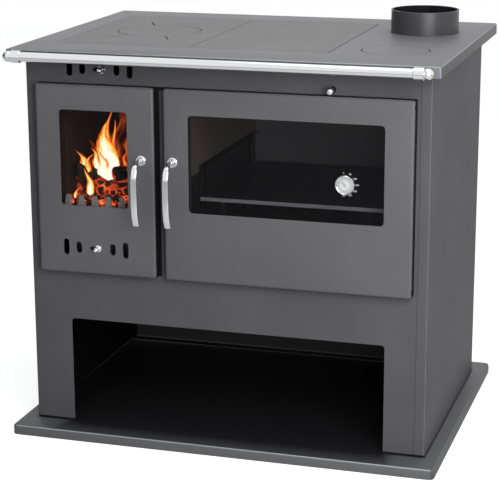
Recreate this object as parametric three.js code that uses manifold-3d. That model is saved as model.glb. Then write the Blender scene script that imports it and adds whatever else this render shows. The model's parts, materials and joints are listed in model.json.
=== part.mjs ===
// A wood-burning cookstove: folded steel casing, cast hot plates, firebox, oven and wood store.
// Millimetres, +Z up, front towards -Y. The origin is the middle of the base plate's underside.
import * as THREE from "three";
import { mergeVertices } from "three/addons/utils/BufferGeometryUtils.js";
import Module from "manifold-3d";

const wasm = await Module();
wasm.setup();

// ---- Clearances ---------------------------------------------------------------------------------
const clearance = 0.3; // between pieces that touch
const plateGap = 1.8; // round each hot plate and lid
const slideGap = 1; // round the drawer and the shelf
const catchGap = 1.2; // from a latch nose to its keeper

// ---- Base plate ---------------------------------------------------------------------------------
const baseWidth = 940;
const baseDepth = 716;
const baseHeight = 22;
const baseSheet = 3;
const baseCorner = 12;
const baseFold = 5;
const baseLip = 16;
const stiffenerWidth = 60;

// ---- Casing -------------------------------------------------------------------------------------
const bodyWidth = 874;
const bodyDepth = 587;
const bodySetback = 68; // base front edge to casing front
const casingSheet = 2;
const casingFold = 4;
const flangeWidth = 22.5;
const panelReturn = 15;
const storeSide = 88.5; // casing side to the store's arch
const storeHeight = 236;
const storeCorner = 7;
const storeHeader = 4; // arch to the store's ceiling

// ---- Worktop ------------------------------------------------------------------------------------
const worktopHeight = 850;
const topSideOverhang = 25;
const topFrontOverhang = 46;
const topBackOverhang = 55;
const topApron = 24;
const topSheet = 4;
const apronSheet = 3;
const topCorner = 7;
const topFold = 4;

// ---- Hot plates ---------------------------------------------------------------------------------
const hobFromLeft = 39; // casing side to the hob's opening
const hobFromRight = 233;
const hobFromFront = 124; // worktop's front edge to the opening
const hobFromBack = 97;
const hobCorner = 3;
const hotPlateThickness = 8;
const hobLedge = 10;
const hobLedgeSheet = 4;
const hobLegSheet = 4;
const lidRadius = 93;
const lidSeat = 8; // width of the ledge that the lid sits on
const lidRimThickness = 4;
const lidBossGap = 1; // round the lid's lower step
const brokenEdge = 0.6; // on the rims of the round covers
const lidSlotReach = 150; // from the lid's centre to a slot's end
const lidSlotWidth = 3;
const lidSlotAngles = [117, 240, 297]; // expansion slots, in degrees from the X axis

// ---- Soot cover and flue ------------------------------------------------------------------------
const flueRadius = 75;
const flueWall = 3;
const flueHeight = 50;
const flueFlange = 12;
const flueFlangeThickness = 3;
const flueFromRight = 107; // casing side to the flue's centre
const flueFromBack = 192; // worktop's back edge to the flue's centre
const sootRadius = 70;
const sootFromRight = 109;
const sootFromFront = 199;
const sootSeat = 8;
const sootRingWidth = 12; // ring beyond the cover's edge
const sootRingThickness = 3;
const sootRimThickness = 4;
const sootBossDepth = 4;
const strapWidth = 26;

// ---- Towel rail ---------------------------------------------------------------------------------
const railRadius = 10;
const railStandoff = 22; // rail axis in front of the apron
const railDrop = 12; // rail axis below the worktop
const railFromLeft = 35; // worktop's side to the rail's end
const railFromRight = 40;
const railCollarRadius = 12.8;
const railCollarLength = 21;
const railCollarEdge = 1;
const railStudRadius = 5;
const railBallRadius = 11.5;
const railNeckRadius = 9.5;
const railNeckLength = 0.3;

// ---- Doors --------------------------------------------------------------------------------------
const doorBottom = 369;
const doorFromTop = 73; // worktop to the doors
const doorMargin = 30; // casing side to door edge
const doorsGap = 21;
const fireDoorWidth = 264.5;
const doorFace = 25; // door face in front of the casing
const doorStandoff = 4; // door skirt to casing, filled by the rope seal
const doorSheet = 3;
const doorCorner = 6;
const doorFold = 5;
const doorSkirt = 7; // depth of the folded face
const linerInset = 1; // dark inner box inside the face's outline
const linerSheet = 2;
const windowFromBottom = 149; // door edge to window
const windowFromTop = 53;
const windowCorner = 8;
const fireWindowFromLeft = 53;
const fireWindowFromRight = 59;
const ovenWindowFromLeft = 54;
const ovenWindowFromRight = 59.5;
const glassThickness = 4;
const glassOverlap = 12;
const glassFrameFoot = 8; // frame beyond the glass
const glassFrameReach = 8; // frame over the glass
const glassFrameSheet = 2;
const sealWidth = 10;
const sealFromMouth = 2;
const sealOuterCorner = 8;
const sealInnerCorner = 3;

// ---- Door hinges, handles and latches -----------------------------------------------------------
const hingeInset = 9; // pin axis from the door's edge
const hingeDepth = 9; // pin axis behind the door's face
const hingePinRadius = 2.3;
const hingeHoleRadius = 2.6;
const lugHalfWidth = 4;
const lugThickness = 4;
const lugInset = 12; // lug from the door's upper and lower edge
const lugRoot = 2.7; // width where a lug joins its strip
const bracketWidth = 12.6;
const bracketSheet = 2;
const lugSlotGap = 1.5;
const spindleHeight = 255; // above the door's lower edge
const fireSpindleInset = 28.5;
const ovenSpindleInset = 20;
const spindleRadius = 4;
const spindleHole = 4.5;
const rosetteRadius = 12;
const rosetteThickness = 4;
const rosetteSteps = 28;
const rosetteSlope = 3; // sloping shoulder
const rosetteEdge = 1;
const handleStandoff = 46; // lever in front of the door's face
const handleWidth = 15;
const handleThickness = 8;
const handleNeck = 12; // straight neck in front of the rosette
// The lever's side view: back from its foremost line, and down from the spindle.
const handleProfile = [[18, 2], [5, 9], [0, 25], [0, 60], [0.5, 92], [7, 108], [24, 131]];
const handleSteps = 22;
const latchHubRadius = 7;
const latchReach = 9.5;
const latchThickness = 4;
const latchHalfHeight = 3;
const latchInset = 1; // latch in front of the door's inner plate
const catchThickness = 4;
const catchHeight = 18;
const catchEngagement = 3; // keeper in front of the latch
const keeperGap = 2.5;

// ---- Air slides ---------------------------------------------------------------------------------
const slotWidth = 13;
const slotPitch = 29;
const slotPairGap = 77; // between the two inner slots
const innerSlotHeight = 25;
const outerSlotHeight = 35.5;
const upperSlotHeight = 33;
const upperInnerSlotHeight = 23;
const lowerSlotsAboveDoor = 57; // slot centres above the door's lower edge
const lowerSlotsFromLeft = 129.5;
const upperSlotsBelowTop = 42.5;
const upperSlotsFromLeft = 167.5;
const slideTravel = 14.5;
const slideSheet = 2;
const slideMargin = 8;
const airKnobOffset = 4.5;
const airWasherRadius = 10;
const airWasherRim = 1.2;
const airWasherThickness = 2.4;
const airWasherDish = 1.2; // depth of the hollow in the washer
const airNeckLength = 8;
const airKnobRadius = 6.3;
const airKnobLength = 6.5;
const airKnobEdge = 1.6;
const airStemRadius = 3;
const airStemGap = 1; // round the stem in its slot
const guideSheet = 1.5;
const guideLip = 3; // over the slide's edge
const guideFoot = 4;

// ---- Firebox ------------------------------------------------------------------------------------
const fireMouthFromLeft = 27; // fire door's edges to the mouth
const fireMouthFromRight = 47.5;
const fireMouthFromBottom = 23;
const fireMouthFromTop = 22;
const shellSheet = 3;
const shellBeyondLeft = 18; // firebox walls beyond the mouth's edges
const shellBeyondRight = 70;
const shellDepth = 430;
const fireFloorRise = 121; // door's lower edge to the fire's floor
const hobChannel = 92; // height of the smoke passage over the oven
const smokeGateFront = 60; // firebox's front to the opening in its side
const smokeGateBack = 20;
const brickThickness = 30;
const brickHeight = 245;
const brickSetback = 38;
const brickChamfer = 5;
const grateGap = 3.2; // to the bricks at its sides
const grateDepth = 300;
const grateThickness = 12;
const grateCorner = 6;
const grateRim = 14;
const grateBars = 9;
const grateBarGap = 11;
const ashHoleMargin = 10;
const guardThickness = 3;
const guardOverlap = 3; // beyond the mouth's sides
const guardSolidHeight = 20; // above the fire's floor
const guardToothHeight = 24;
const guardTeeth = 5;
const guardToothPitch = 30.7;
const guardToothBase = 18;
const guardToothTip = 9;
const guardToothShift = -3.5; // the teeth sit a little left of the mouth's middle

// ---- Ash drawer ---------------------------------------------------------------------------------
const drawerSetback = 50;
const drawerFromLeft = 28; // mouth's left edge to drawer
const drawerFromRight = 5;
const drawerBackGap = 49.3;
const drawerHeight = 72;
const drawerSheet = 1.5;
const pullWidth = 50;
const pullDepth = 16;
const pullRim = 6; // also the radius of its outer corners
const pullThickness = 6;

// ---- Oven ---------------------------------------------------------------------------------------
const ovenMouthFromLeft = 51.5; // oven door's edges to the mouth
const ovenMouthFromRight = 50;
const ovenMouthFromBottom = 46;
const ovenMouthFromTop = 42;
const ovenDepth = 470;
const ovenSheet = 3;
const shelfRise = 113; // oven's floor to its shelf
const shelfLip = 8;
const shelfSheet = 2;
const shelfBackGap = 29;
const shelfSlotLength = 31;
const shelfSlotMargin = 48.5; // tray's side to the middle of its first slot
const shelfSlotCount = 6;
const shelfSlotWidth = 6;
const shelfSlotInset = 20;
const shelfTabWidth = 8;
const shelfTabDrop = 22;
const shelfTabInset = 51; // tray's side to the middle of a tab
const runnerWidth = 10;
const runnerSheet = 2;
const runnerDepth = 12;
const rackUprightWidth = 14;
const rackUprightInset = 30;
const runnerBackGap = 17;
const runnerPitch = 76;
const runnerLevels = 3;

// ---- Damper -------------------------------------------------------------------------------------
const damperFromRight = 204;
const damperFromTop = 62; // worktop to the rod
const damperRodRadius = 3;
const damperHoleGap = 4; // round the rod in the front panel
const damperKnobRadius = 9;
const damperKnobStandoff = 20;
const damperPlateWidth = 120;
const damperPlateHeight = 66;
const damperPlateThickness = 3;
const damperWindowMargin = 6;
const baffleSheet = 3;
const baffleFromFlue = 10; // in front of the flue's wall
const baffleFromDamper = 8; // left of the damper's plate

// ---- Thermometer --------------------------------------------------------------------------------
const thermometerFromRight = 140; // oven door's right edge to the dial's centre
const thermometerFromBottom = 230.5;
const thermometerRadius = 20;
const thermometerDepth = 9;
const thermometerRim = 2.5;
const thermometerSteps = 32;
const thermometerDish = 3; // rim to dial
const thermometerEdge = 0.8;
const thermometerStem = 4;
const thermometerHoleGap = 1; // round the stem in the glass
const thermometerProbe = 38;
const thermometerProbeStep = 1; // stem to probe
const thermometerNut = 8;
const thermometerNutThickness = 3;
const needleLength = 15;
const needleWidth = 2.2;
const needleTip = 0.6;
const needleThickness = 0.8;
const needleTail = 4;
const needleRest = 135; // degrees from the X axis

// ---- Inner floor and stands ---------------------------------------------------------------------
const floorSheet = 2;
const floorFold = 18;
const standWidth = 30;
const standSheet = 2;
const standInset = 30; // from the side of what it carries
const standTieDepth = 30;
const standTieInset = 40; // from the channels' ends

// ---- Places worked out from the sizes above -----------------------------------------------------
const topWidth = bodyWidth + 2 * topSideOverhang;
const bodyLeft = -bodyWidth / 2;
const bodyRight = bodyWidth / 2;
const bodyFront = -baseDepth / 2 + bodySetback;
const bodyBack = bodyFront + bodyDepth;
const panelInside = bodyFront + casingSheet;
const topFront = bodyFront - topFrontOverhang;
const topBack = bodyBack + topBackOverhang;
const topUnderside = worktopHeight - topSheet;
const casingBottom = baseHeight + clearance;
const casingTop = topUnderside - clearance;
const storeHalfWidth = bodyWidth / 2 - storeSide;
const doorTop = worktopHeight - doorFromTop;
const doorFront = bodyFront - doorFace;
const doorBack = bodyFront - doorStandoff;
const linerFront = doorBack - linerSheet;
const glassFront = doorFront + doorSheet + clearance;
const glassBack = glassFront + glassThickness;
const fireDoorLeft = bodyLeft + doorMargin;
const fireDoorRight = fireDoorLeft + fireDoorWidth;
const ovenDoorLeft = fireDoorRight + doorsGap;
const ovenDoorRight = bodyRight - doorMargin;
const spindleZ = doorBottom + spindleHeight;
const hingeY = doorFront + hingeDepth;
const fireMouth = {
  left: fireDoorLeft + fireMouthFromLeft,
  right: fireDoorRight - fireMouthFromRight,
  bottom: doorBottom + fireMouthFromBottom,
  top: doorTop - fireMouthFromTop,
};
const ovenMouth = {
  left: ovenDoorLeft + ovenMouthFromLeft,
  right: ovenDoorRight - ovenMouthFromRight,
  bottom: doorBottom + ovenMouthFromBottom,
  top: doorTop - ovenMouthFromTop,
};
const fireFloorHeight = doorBottom + fireFloorRise;
const shelfHeight = ovenMouth.bottom + shelfRise;
const innerFloorTop = baseHeight + storeHeight + storeHeader + floorSheet;
const hobLeft = bodyLeft + hobFromLeft;
const hobRight = bodyRight - hobFromRight;
const hobFront = topFront + hobFromFront;
const hobBack = topBack - hobFromBack;
const hotPlateBottom = worktopHeight - hotPlateThickness;
const hobLedgeTop = hotPlateBottom - clearance;
const hobLedgeBottom = hobLedgeTop - hobLedgeSheet;
const flueX = bodyRight - flueFromRight;
const flueY = topBack - flueFromBack;
const sootX = bodyRight - sootFromRight;
const sootY = topFront + sootFromFront;
const shellLeft = fireMouth.left - shellBeyondLeft;
const shellRight = fireMouth.right + shellBeyondRight;
const shellFront = panelInside + clearance;
const shellBack = shellFront + shellDepth;
const shellBottom = fireMouth.bottom - shellSheet;
const shellTop = hobLedgeBottom - clearance;
const chamberBottom = fireFloorHeight + shellSheet + clearance; // where bricks and grate stand
const ovenBack = shellFront + ovenDepth;
const trayFront = bodyFront + drawerSetback;
const damperX = bodyRight - damperFromRight;
const damperHeight = worktopHeight - damperFromTop;

// ---- Materials ----------------------------------------------------------------------------------
function finish(color, roughness, metalness) {
  return new THREE.MeshStandardMaterial({ color, roughness, metalness });
}
const casingPaint = () => finish(0x58585a, 0.6, 0.2);
const doorPaint = () => finish(0x65656a, 0.6, 0.2);
const worktopPaint = () => finish(0x85858a, 0.55, 0.25);
const castIron = () => finish(0x77777c, 0.7, 0.3);
const chrome = () => finish(0xd8d8dc, 0.12, 1);
const darkSteel = () => finish(0x2b2a2a, 0.75, 0.3);
const bareSteel = () => finish(0x9a9a9c, 0.4, 0.8);
const firebrick = () => finish(0xb59a78, 0.95, 0);
const ropeSeal = () => finish(0x3a3a38, 0.95, 0);
const glassPane = () => finish(0x1b1b1d, 0.05, 0);

// ---- Solid modelling helpers --------------------------------------------------------------------
const circleSteps = 40;
const knobSteps = 20;
const smallSteps = 14;
const cornerSteps = 2;
const hairline = 0.01; // keeps a slot's straight sides from vanishing

function solid(geometry) {
  const bare = geometry.index ? geometry.toNonIndexed() : geometry.clone();
  bare.deleteAttribute("normal");
  bare.deleteAttribute("uv");
  const merged = mergeVertices(bare, 1e-4);
  const corners = [];
  for (let index = 0; index < merged.index.count; index += 3) {
    const [a, b, c] = [0, 1, 2].map((step) => merged.index.getX(index + step));
    if (a !== b && b !== c && c !== a) corners.push(a, b, c);
  }
  return outward(Float32Array.from(merged.attributes.position.array), corners);
}

// Profiles and paths may run either way round, so a solid that comes out inside out is turned over.
function outward(vertProperties, corners) {
  const build = (list) => new wasm.Manifold(new wasm.Mesh({
    numProp: 3,
    vertProperties,
    triVerts: Uint32Array.from(list),
  }));
  const shape = build(corners);
  if (shape.volume() > 0) return shape;
  const turned = [];
  for (let index = 0; index < corners.length; index += 3) {
    turned.push(corners[index + 1], corners[index], corners[index + 2]);
  }
  return build(turned);
}

function meshOf(manifold, name, material) {
  const mesh = manifold.getMesh();
  const geometry = new THREE.BufferGeometry();
  geometry.setAttribute("position", new THREE.BufferAttribute(Float32Array.from(mesh.vertProperties), 3));
  geometry.setIndex(new THREE.BufferAttribute(Uint32Array.from(mesh.triVerts), 1));
  geometry.computeVertexNormals();
  const named = new THREE.Mesh(geometry, material);
  named.name = name;
  return named;
}

const union = (solids) => solids.reduce((whole, next) => whole.add(next));

function block(x0, x1, y0, y1, z0, z1) {
  const geometry = new THREE.BoxGeometry(x1 - x0, y1 - y0, z1 - z0);
  geometry.translate((x0 + x1) / 2, (y0 + y1) / 2, (z0 + z1) / 2);
  return solid(geometry);
}

// Turns geometry made along +Z so that it runs along the axis asked for, keeping it right side out.
const alongAxis = {
  x: new THREE.Matrix4().set(0, 0, 1, 0, 1, 0, 0, 0, 0, 1, 0, 0, 0, 0, 0, 1),
  y: new THREE.Matrix4().set(1, 0, 0, 0, 0, 0, -1, 0, 0, 1, 0, 0, 0, 0, 0, 1),
  z: new THREE.Matrix4(),
};

// A prism of a flat outline. On axis y the outline is drawn in X and Z, on axis x in Y and Z.
function prism(shape, axis, from, to, steps = cornerSteps) {
  const options = { depth: to - from, bevelEnabled: false, curveSegments: steps };
  const geometry = new THREE.ExtrudeGeometry(shape, options);
  geometry.applyMatrix4(alongAxis[axis]);
  const shift = { x: [from, 0, 0], y: [0, to, 0], z: [0, 0, from] }[axis];
  geometry.translate(...shift);
  return solid(geometry);
}

function disc(radius, axis, from, to, u, v, steps = circleSteps) {
  const shape = new THREE.Shape();
  shape.absarc(u, v, radius, 0, Math.PI * 2, false);
  return prism(shape, axis, from, to, steps / 2);
}

function tube(outer, inner, axis, from, to, u, v, steps = circleSteps) {
  const bore = disc(inner, axis, from - 1, to + 1, u, v, steps);
  return disc(outer, axis, from, to, u, v, steps).subtract(bore);
}

function roundedRect(u0, u1, v0, v1, radius) {
  const shape = new THREE.Shape();
  shape.moveTo(u0 + radius, v0);
  shape.lineTo(u1 - radius, v0);
  shape.absarc(u1 - radius, v0 + radius, radius, -Math.PI / 2, 0, false);
  shape.lineTo(u1, v1 - radius);
  shape.absarc(u1 - radius, v1 - radius, radius, 0, Math.PI / 2, false);
  shape.lineTo(u0 + radius, v1);
  shape.absarc(u0 + radius, v1 - radius, radius, Math.PI / 2, Math.PI, false);
  shape.lineTo(u0, v0 + radius);
  shape.absarc(u0 + radius, v0 + radius, radius, Math.PI, Math.PI * 1.5, false);
  return shape;
}

function polygon(points) {
  return new THREE.Shape(points.map(([u, v]) => new THREE.Vector2(u, v)));
}

// A slab whose far face has a rounded edge all round, as a folded pan has.
function foldedSlab(u0, u1, v0, v1, corner, fold, height) {
  const outline = roundedRect(u0 + fold, u1 - fold, v0 + fold, v1 - fold, Math.max(corner - fold, 0.5));
  const geometry = new THREE.ExtrudeGeometry(outline, { depth: height - fold, bevelEnabled: true,
    bevelThickness: fold, bevelSize: fold, bevelSegments: 3, curveSegments: cornerSteps });
  return geometry;
}

function foldedTop(x0, x1, y0, y1, corner, fold, z0, z1) {
  const geometry = foldedSlab(x0, x1, y0, y1, corner, fold, z1 - z0);
  geometry.translate(0, 0, z0);
  return solid(geometry).intersect(block(x0 - 1, x1 + 1, y0 - 1, y1 + 1, z0, z1 + 1));
}

function foldedFront(x0, x1, z0, z1, corner, fold, yFront, yBack) {
  const geometry = foldedSlab(x0, x1, z0, z1, corner, fold, yBack - yFront);
  geometry.applyMatrix4(alongAxis.y);
  geometry.translate(0, yBack, 0);
  return solid(geometry).intersect(block(x0 - 1, x1 + 1, yFront - 1, yBack, z0 - 1, z1 + 1));
}

// A turned piece: each profile point is a radius and a place along the axis.
function turned(profile, axis, u, v, steps = circleSteps) {
  const points = profile.map(([radius, along]) => new THREE.Vector2(radius, along));
  const geometry = new THREE.LatheGeometry(points, steps);
  if (axis === "x") geometry.rotateZ(-Math.PI / 2).translate(0, u, v);
  if (axis === "y") geometry.translate(u, 0, v);
  if (axis === "z") geometry.rotateX(Math.PI / 2).translate(u, v, 0);
  return solid(geometry);
}

// A ball with a flat neck end is an arc of points from its pole.
function ballProfile(radius, centre, neckRadius, neckEnd, steps = 8) {
  const direction = Math.sign(neckEnd - centre);
  const last = Math.PI - Math.asin(neckRadius / radius);
  const points = [];
  for (let step = 0; step <= steps; step += 1) {
    const angle = (last * step) / steps;
    points.push([step === 0 ? 0 : radius * Math.sin(angle), centre - direction * radius * Math.cos(angle)]);
  }
  points.push([neckRadius, neckEnd], [0, neckEnd]);
  return points;
}

const stove = new THREE.Group();
const place = (name, manifold, material) => stove.add(meshOf(manifold, name, material));

// ---- Base plate: a folded pan with a return lip and one welded stiffener ------------------------
function makeBasePlate() {
  const halfWidth = baseWidth / 2;
  const halfDepth = baseDepth / 2;
  const pan = foldedTop(-halfWidth, halfWidth, -halfDepth, halfDepth, baseCorner, baseFold, 0, baseHeight);
  const inset = baseSheet;
  const hollow = prism(roundedRect(-halfWidth + inset, halfWidth - inset, -halfDepth + inset,
    halfDepth - inset, baseCorner - inset), "z", baseSheet, baseHeight - baseSheet);
  const opening = prism(roundedRect(-halfWidth + baseLip, halfWidth - baseLip, -halfDepth + baseLip,
    halfDepth - baseLip, baseCorner), "z", -1, baseHeight - baseSheet);
  const stiffener = block(-halfWidth + baseSheet, halfWidth - baseSheet, -stiffenerWidth / 2,
    stiffenerWidth / 2, 0, baseHeight - baseSheet);
  const channel = block(-halfWidth - 1, halfWidth + 1, -stiffenerWidth / 2 + baseSheet,
    stiffenerWidth / 2 - baseSheet, baseSheet, baseHeight - baseSheet);
  const stiffenerEnds = block(-halfWidth + baseSheet + baseLip, halfWidth - baseSheet - baseLip,
    -stiffenerWidth, stiffenerWidth, 0, baseHeight - baseSheet);
  const hat = stiffener.intersect(stiffenerEnds).subtract(channel);
  place("base_plate", pan.subtract(hollow).subtract(opening).add(hat), casingPaint());
}

// ---- Casing: side panels wrap round the front and back, the front and back panels sit between ---
function makeSidePanels() {
  const outer = prism(roundedRect(bodyLeft, bodyRight, bodyFront, bodyBack, casingFold), "z", casingBottom,
    casingTop);
  const inner = prism(roundedRect(bodyLeft + casingSheet, bodyRight - casingSheet, bodyFront + casingSheet,
    bodyBack - casingSheet, casingFold - casingSheet), "z", casingBottom - 1, casingTop + 1);
  const wall = outer.subtract(inner);
  for (const [name, side] of [["side_panel_left", -1], ["side_panel_right", 1]]) {
    const near = side * (bodyWidth / 2 - flangeWidth);
    const far = side * (bodyWidth / 2 + 1);
    const half = block(Math.min(near, far), Math.max(near, far), bodyFront - 1, bodyBack + 1,
      casingBottom - 1, casingTop + 1);
    place(name, wall.intersect(half), casingPaint());
  }
}

function airSlots(centreX, centreZ, innerHeight, outerHeight, y0, y1, shift = 0) {
  const slots = [];
  for (const side of [-1, 1]) {
    const inner = centreX + (side * slotPairGap) / 2 + shift;
    for (const [x, height] of [[inner, innerHeight], [inner + side * slotPitch, outerHeight]]) {
      const outline = roundedRect(x - slotWidth / 2, x + slotWidth / 2, centreZ - height / 2,
        centreZ + height / 2, slotWidth / 2 - hairline);
      slots.push(prism(outline, "y", y0, y1));
    }
  }
  return slots;
}

function knobSlot(knobX, centreZ, y0, y1) {
  const reach = airStemRadius + airStemGap;
  return prism(roundedRect(knobX - slideTravel - reach, knobX + reach, centreZ - reach, centreZ + reach,
    reach - hairline), "y", y0, y1);
}

const upperSlots = { x: bodyLeft + upperSlotsFromLeft, z: worktopHeight - upperSlotsBelowTop };
const lowerSlots = { x: fireDoorLeft + lowerSlotsFromLeft, z: doorBottom + lowerSlotsAboveDoor };
const slotsHalfWidth = slotPairGap / 2 + slotPitch + slotWidth / 2;

// Two strips, above and below a slide, that hold it against the sheet it runs on.
function slideGuides(slots, outerHeight, sheetFace, slideFace, side0, side1) {
  const slideEdge = outerHeight / 2 + slideMargin / 2 + clearance;
  const lipFront = slideFace + slideSheet + clearance;
  const lipBack = lipFront + guideSheet;
  return [-1, 1].flatMap((side) => {
    const edge = slots.z + side * slideEdge;
    const foot = edge + side * guideFoot;
    const lip = edge - side * guideLip;
    return [
      block(side0, side1, sheetFace, lipBack, Math.min(edge, foot), Math.max(edge, foot)),
      block(side0, side1, lipFront, lipBack, Math.min(lip, foot), Math.max(lip, foot)),
    ];
  });
}

function lugHole(door, level) {
  const reach = lugHalfWidth + clearance;
  return block(door.hingeX - reach, door.hingeX + reach, bodyFront - 1, panelInside + 1, level - clearance,
    level + lugThickness + clearance);
}

function makeFrontPanel() {
  const halfWidth = bodyWidth / 2 - flangeWidth - clearance;
  const sheet = block(-halfWidth, halfWidth, bodyFront, panelInside, casingBottom, casingTop);
  const returns = [-1, 1].map((side) => {
    const outer = side * halfWidth;
    const inner = side * (halfWidth - casingSheet);
    return block(Math.min(outer, inner), Math.max(outer, inner), bodyFront, bodyFront + panelReturn,
      casingBottom, casingTop);
  });
  const y0 = bodyFront - 1;
  const y1 = bodyFront + panelReturn + 1;
  const store = prism(roundedRect(-storeHalfWidth, storeHalfWidth, -storeHeight, baseHeight + storeHeight,
    storeCorner), "y", y0, y1);
  const mouths = [fireMouth, ovenMouth].map((mouth) =>
    block(mouth.left, mouth.right, y0, y1, mouth.bottom, mouth.top));
  const slots = airSlots(upperSlots.x, upperSlots.z, upperInnerSlotHeight, upperSlotHeight, y0, y1);
  const stemSlot = knobSlot(upperSlots.x + airKnobOffset, upperSlots.z, y0, y1);
  const rodHole = disc(damperRodRadius + damperHoleGap, "y", y0, y1, damperX, damperHeight, smallSteps);
  const lugHoles = [fireDoor, ovenDoor].flatMap((door) => lugLevels.map((level) => lugHole(door, level)));
  const reach = slotsHalfWidth + slideMargin + slideTravel;
  const guides = slideGuides(upperSlots, upperSlotHeight, bodyFront + casingSheet / 2,
    panelInside + clearance, upperSlots.x - reach, upperSlots.x + reach);
  const keepers = [fireDoor, ovenDoor].map((door) => {
    const keeper = catchPlace(door);
    const keeperFront = linerFront - latchInset - latchThickness - catchEngagement;
    return block(keeper.low, keeper.high, keeperFront, panelInside, spindleZ - catchHeight / 2,
      spindleZ + catchHeight / 2);
  });
  const cutSheet = union([sheet, ...returns]).subtract(union([store, ...mouths, ...slots, stemSlot, rodHole,
    ...lugHoles]));
  place("front_panel", union([cutSheet, ...guides, ...keepers]), casingPaint());
}

function makeBackPanel() {
  const back = bodyBack - casingSheet - clearance;
  const halfWidth = bodyWidth / 2 - casingFold;
  const sheet = block(-halfWidth, halfWidth, back - casingSheet, back, casingBottom, casingTop);
  place("back_panel", sheet, casingPaint());
}

// ---- Inner floor over the wood store, and the channels that carry the firebox and the oven ------
function makeInnerFloor() {
  const halfWidth = bodyWidth / 2 - casingSheet - clearance;
  const front = bodyFront + panelReturn + clearance;
  const back = bodyBack - 2 * casingSheet - 2 * clearance;
  const bottom = innerFloorTop - floorSheet;
  const deck = block(-halfWidth, halfWidth, front, back, bottom, innerFloorTop);
  const folds = [
    block(-halfWidth, -halfWidth + floorSheet, front, back, bottom, innerFloorTop + floorFold),
    block(halfWidth - floorSheet, halfWidth, front, back, bottom, innerFloorTop + floorFold),
    block(-halfWidth, halfWidth, back - floorSheet, back, bottom, innerFloorTop + floorFold),
  ];
  const shelfToPanel = block(-storeHalfWidth, storeHalfWidth, shellFront, front + 1, bottom, innerFloorTop);
  place("inner_floor", union([deck, ...folds, shelfToPanel]), darkSteel());
}

function channelAlongY(x, y0, y1, z0, z1) {
  const half = standWidth / 2;
  const web = x - half + standSheet;
  const outline = polygon([[x - half, z0], [x + half, z0], [x + half, z0 + standSheet],
    [web, z0 + standSheet], [web, z1 - standSheet], [x + half, z1 - standSheet], [x + half, z1],
    [x - half, z1]]);
  return prism(outline, "y", y0, y1);
}

function makeInnerStand() {
  const bottom = innerFloorTop + clearance;
  const front = bodyFront + panelReturn + clearance;
  const stands = [
    [shellLeft + standInset, shellBack, shellBottom],
    [shellRight - standInset, shellBack, shellBottom],
    [ovenMouth.left + standInset, ovenBack, ovenMouth.bottom - ovenSheet],
    [ovenMouth.right - standInset, ovenBack, ovenMouth.bottom - ovenSheet],
  ];
  const channels = stands.map(([x, back, top]) => channelAlongY(x, front, back, bottom, top - clearance));
  const ties = [front + standTieInset, shellBack - standTieInset - standTieDepth].map((y) =>
    block(stands[0][0], stands[3][0], y, y + standTieDepth, bottom, bottom + standSheet));
  place("inner_stand", union([...channels, ...ties]), darkSteel());
}

// ---- Worktop: a thick sheet with a folded apron, cut out for the hob, the soot cover and the flue
function makeWorktop() {
  const halfWidth = topWidth / 2;
  const slab = foldedTop(-halfWidth, halfWidth, topFront, topBack, topCorner, topFold,
    worktopHeight - topApron, worktopHeight);
  const hollow = prism(roundedRect(-halfWidth + apronSheet, halfWidth - apronSheet, topFront + apronSheet,
    topBack - apronSheet, topCorner - apronSheet), "z", worktopHeight - topApron - 1, topUnderside);
  const hob = block(hobLeft, hobRight, hobFront, hobBack, topUnderside - 1, worktopHeight + 1);
  const soot = disc(sootRadius + plateGap, "z", topUnderside - 1, worktopHeight + 1, sootX, sootY);
  const flue = disc(flueRadius + clearance, "z", topUnderside - 1, worktopHeight + 1, flueX, flueY);
  place("top_plate", slab.subtract(hollow).subtract(union([hob, soot, flue])), worktopPaint());
}

function makeHobSupport() {
  const leg = hobLegSheet;
  const frameOuter = block(hobLeft - leg, hobRight + leg, hobFront - leg, hobBack + leg, hobLedgeBottom,
    topUnderside - clearance);
  const well = block(hobLeft, hobRight, hobFront, hobBack, hobLedgeTop, topUnderside + 1);
  const throat = block(hobLeft + hobLedge, hobRight - hobLedge, hobFront + hobLedge, hobBack - hobLedge,
    hobLedgeBottom - 1, topUnderside);
  const bar = block(hobMiddle - hobLedge, hobMiddle + hobLedge, hobFront, hobBack, hobLedgeBottom,
    hobLedgeTop);
  const frame = frameOuter.subtract(well).subtract(throat).add(bar);
  const seatTop = topUnderside - clearance;
  const seatOuter = sootRadius + sootRingWidth;
  const seatBottom = seatTop - sootRingThickness;
  const seat = tube(seatOuter, sootRadius - sootSeat, "z", seatBottom, seatTop, sootX, sootY);
  const strap = block(hobRight, sootX - seatOuter + sootRingWidth / 2, sootY - strapWidth / 2,
    sootY + strapWidth / 2, seatBottom, seatTop);
  place("hob_support", union([frame, seat, strap]), darkSteel());
}

// ---- Hot plates: the left one has a round lid in a stepped hole with expansion slots ------------
const hobMiddle = (hobLeft + hobRight) / 2;
const leftPlate = { left: hobLeft + plateGap, right: hobMiddle - plateGap / 2 };
const rightPlate = { left: hobMiddle + plateGap / 2, right: hobRight - plateGap };
const lidX = (leftPlate.left + leftPlate.right) / 2;
const lidY = (hobFront + hobBack) / 2;

function hotPlateBlank(plate) {
  const outline = roundedRect(plate.left, plate.right, hobFront + plateGap, hobBack - plateGap, hobCorner);
  return prism(outline, "z", hotPlateBottom, worktopHeight);
}

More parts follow.
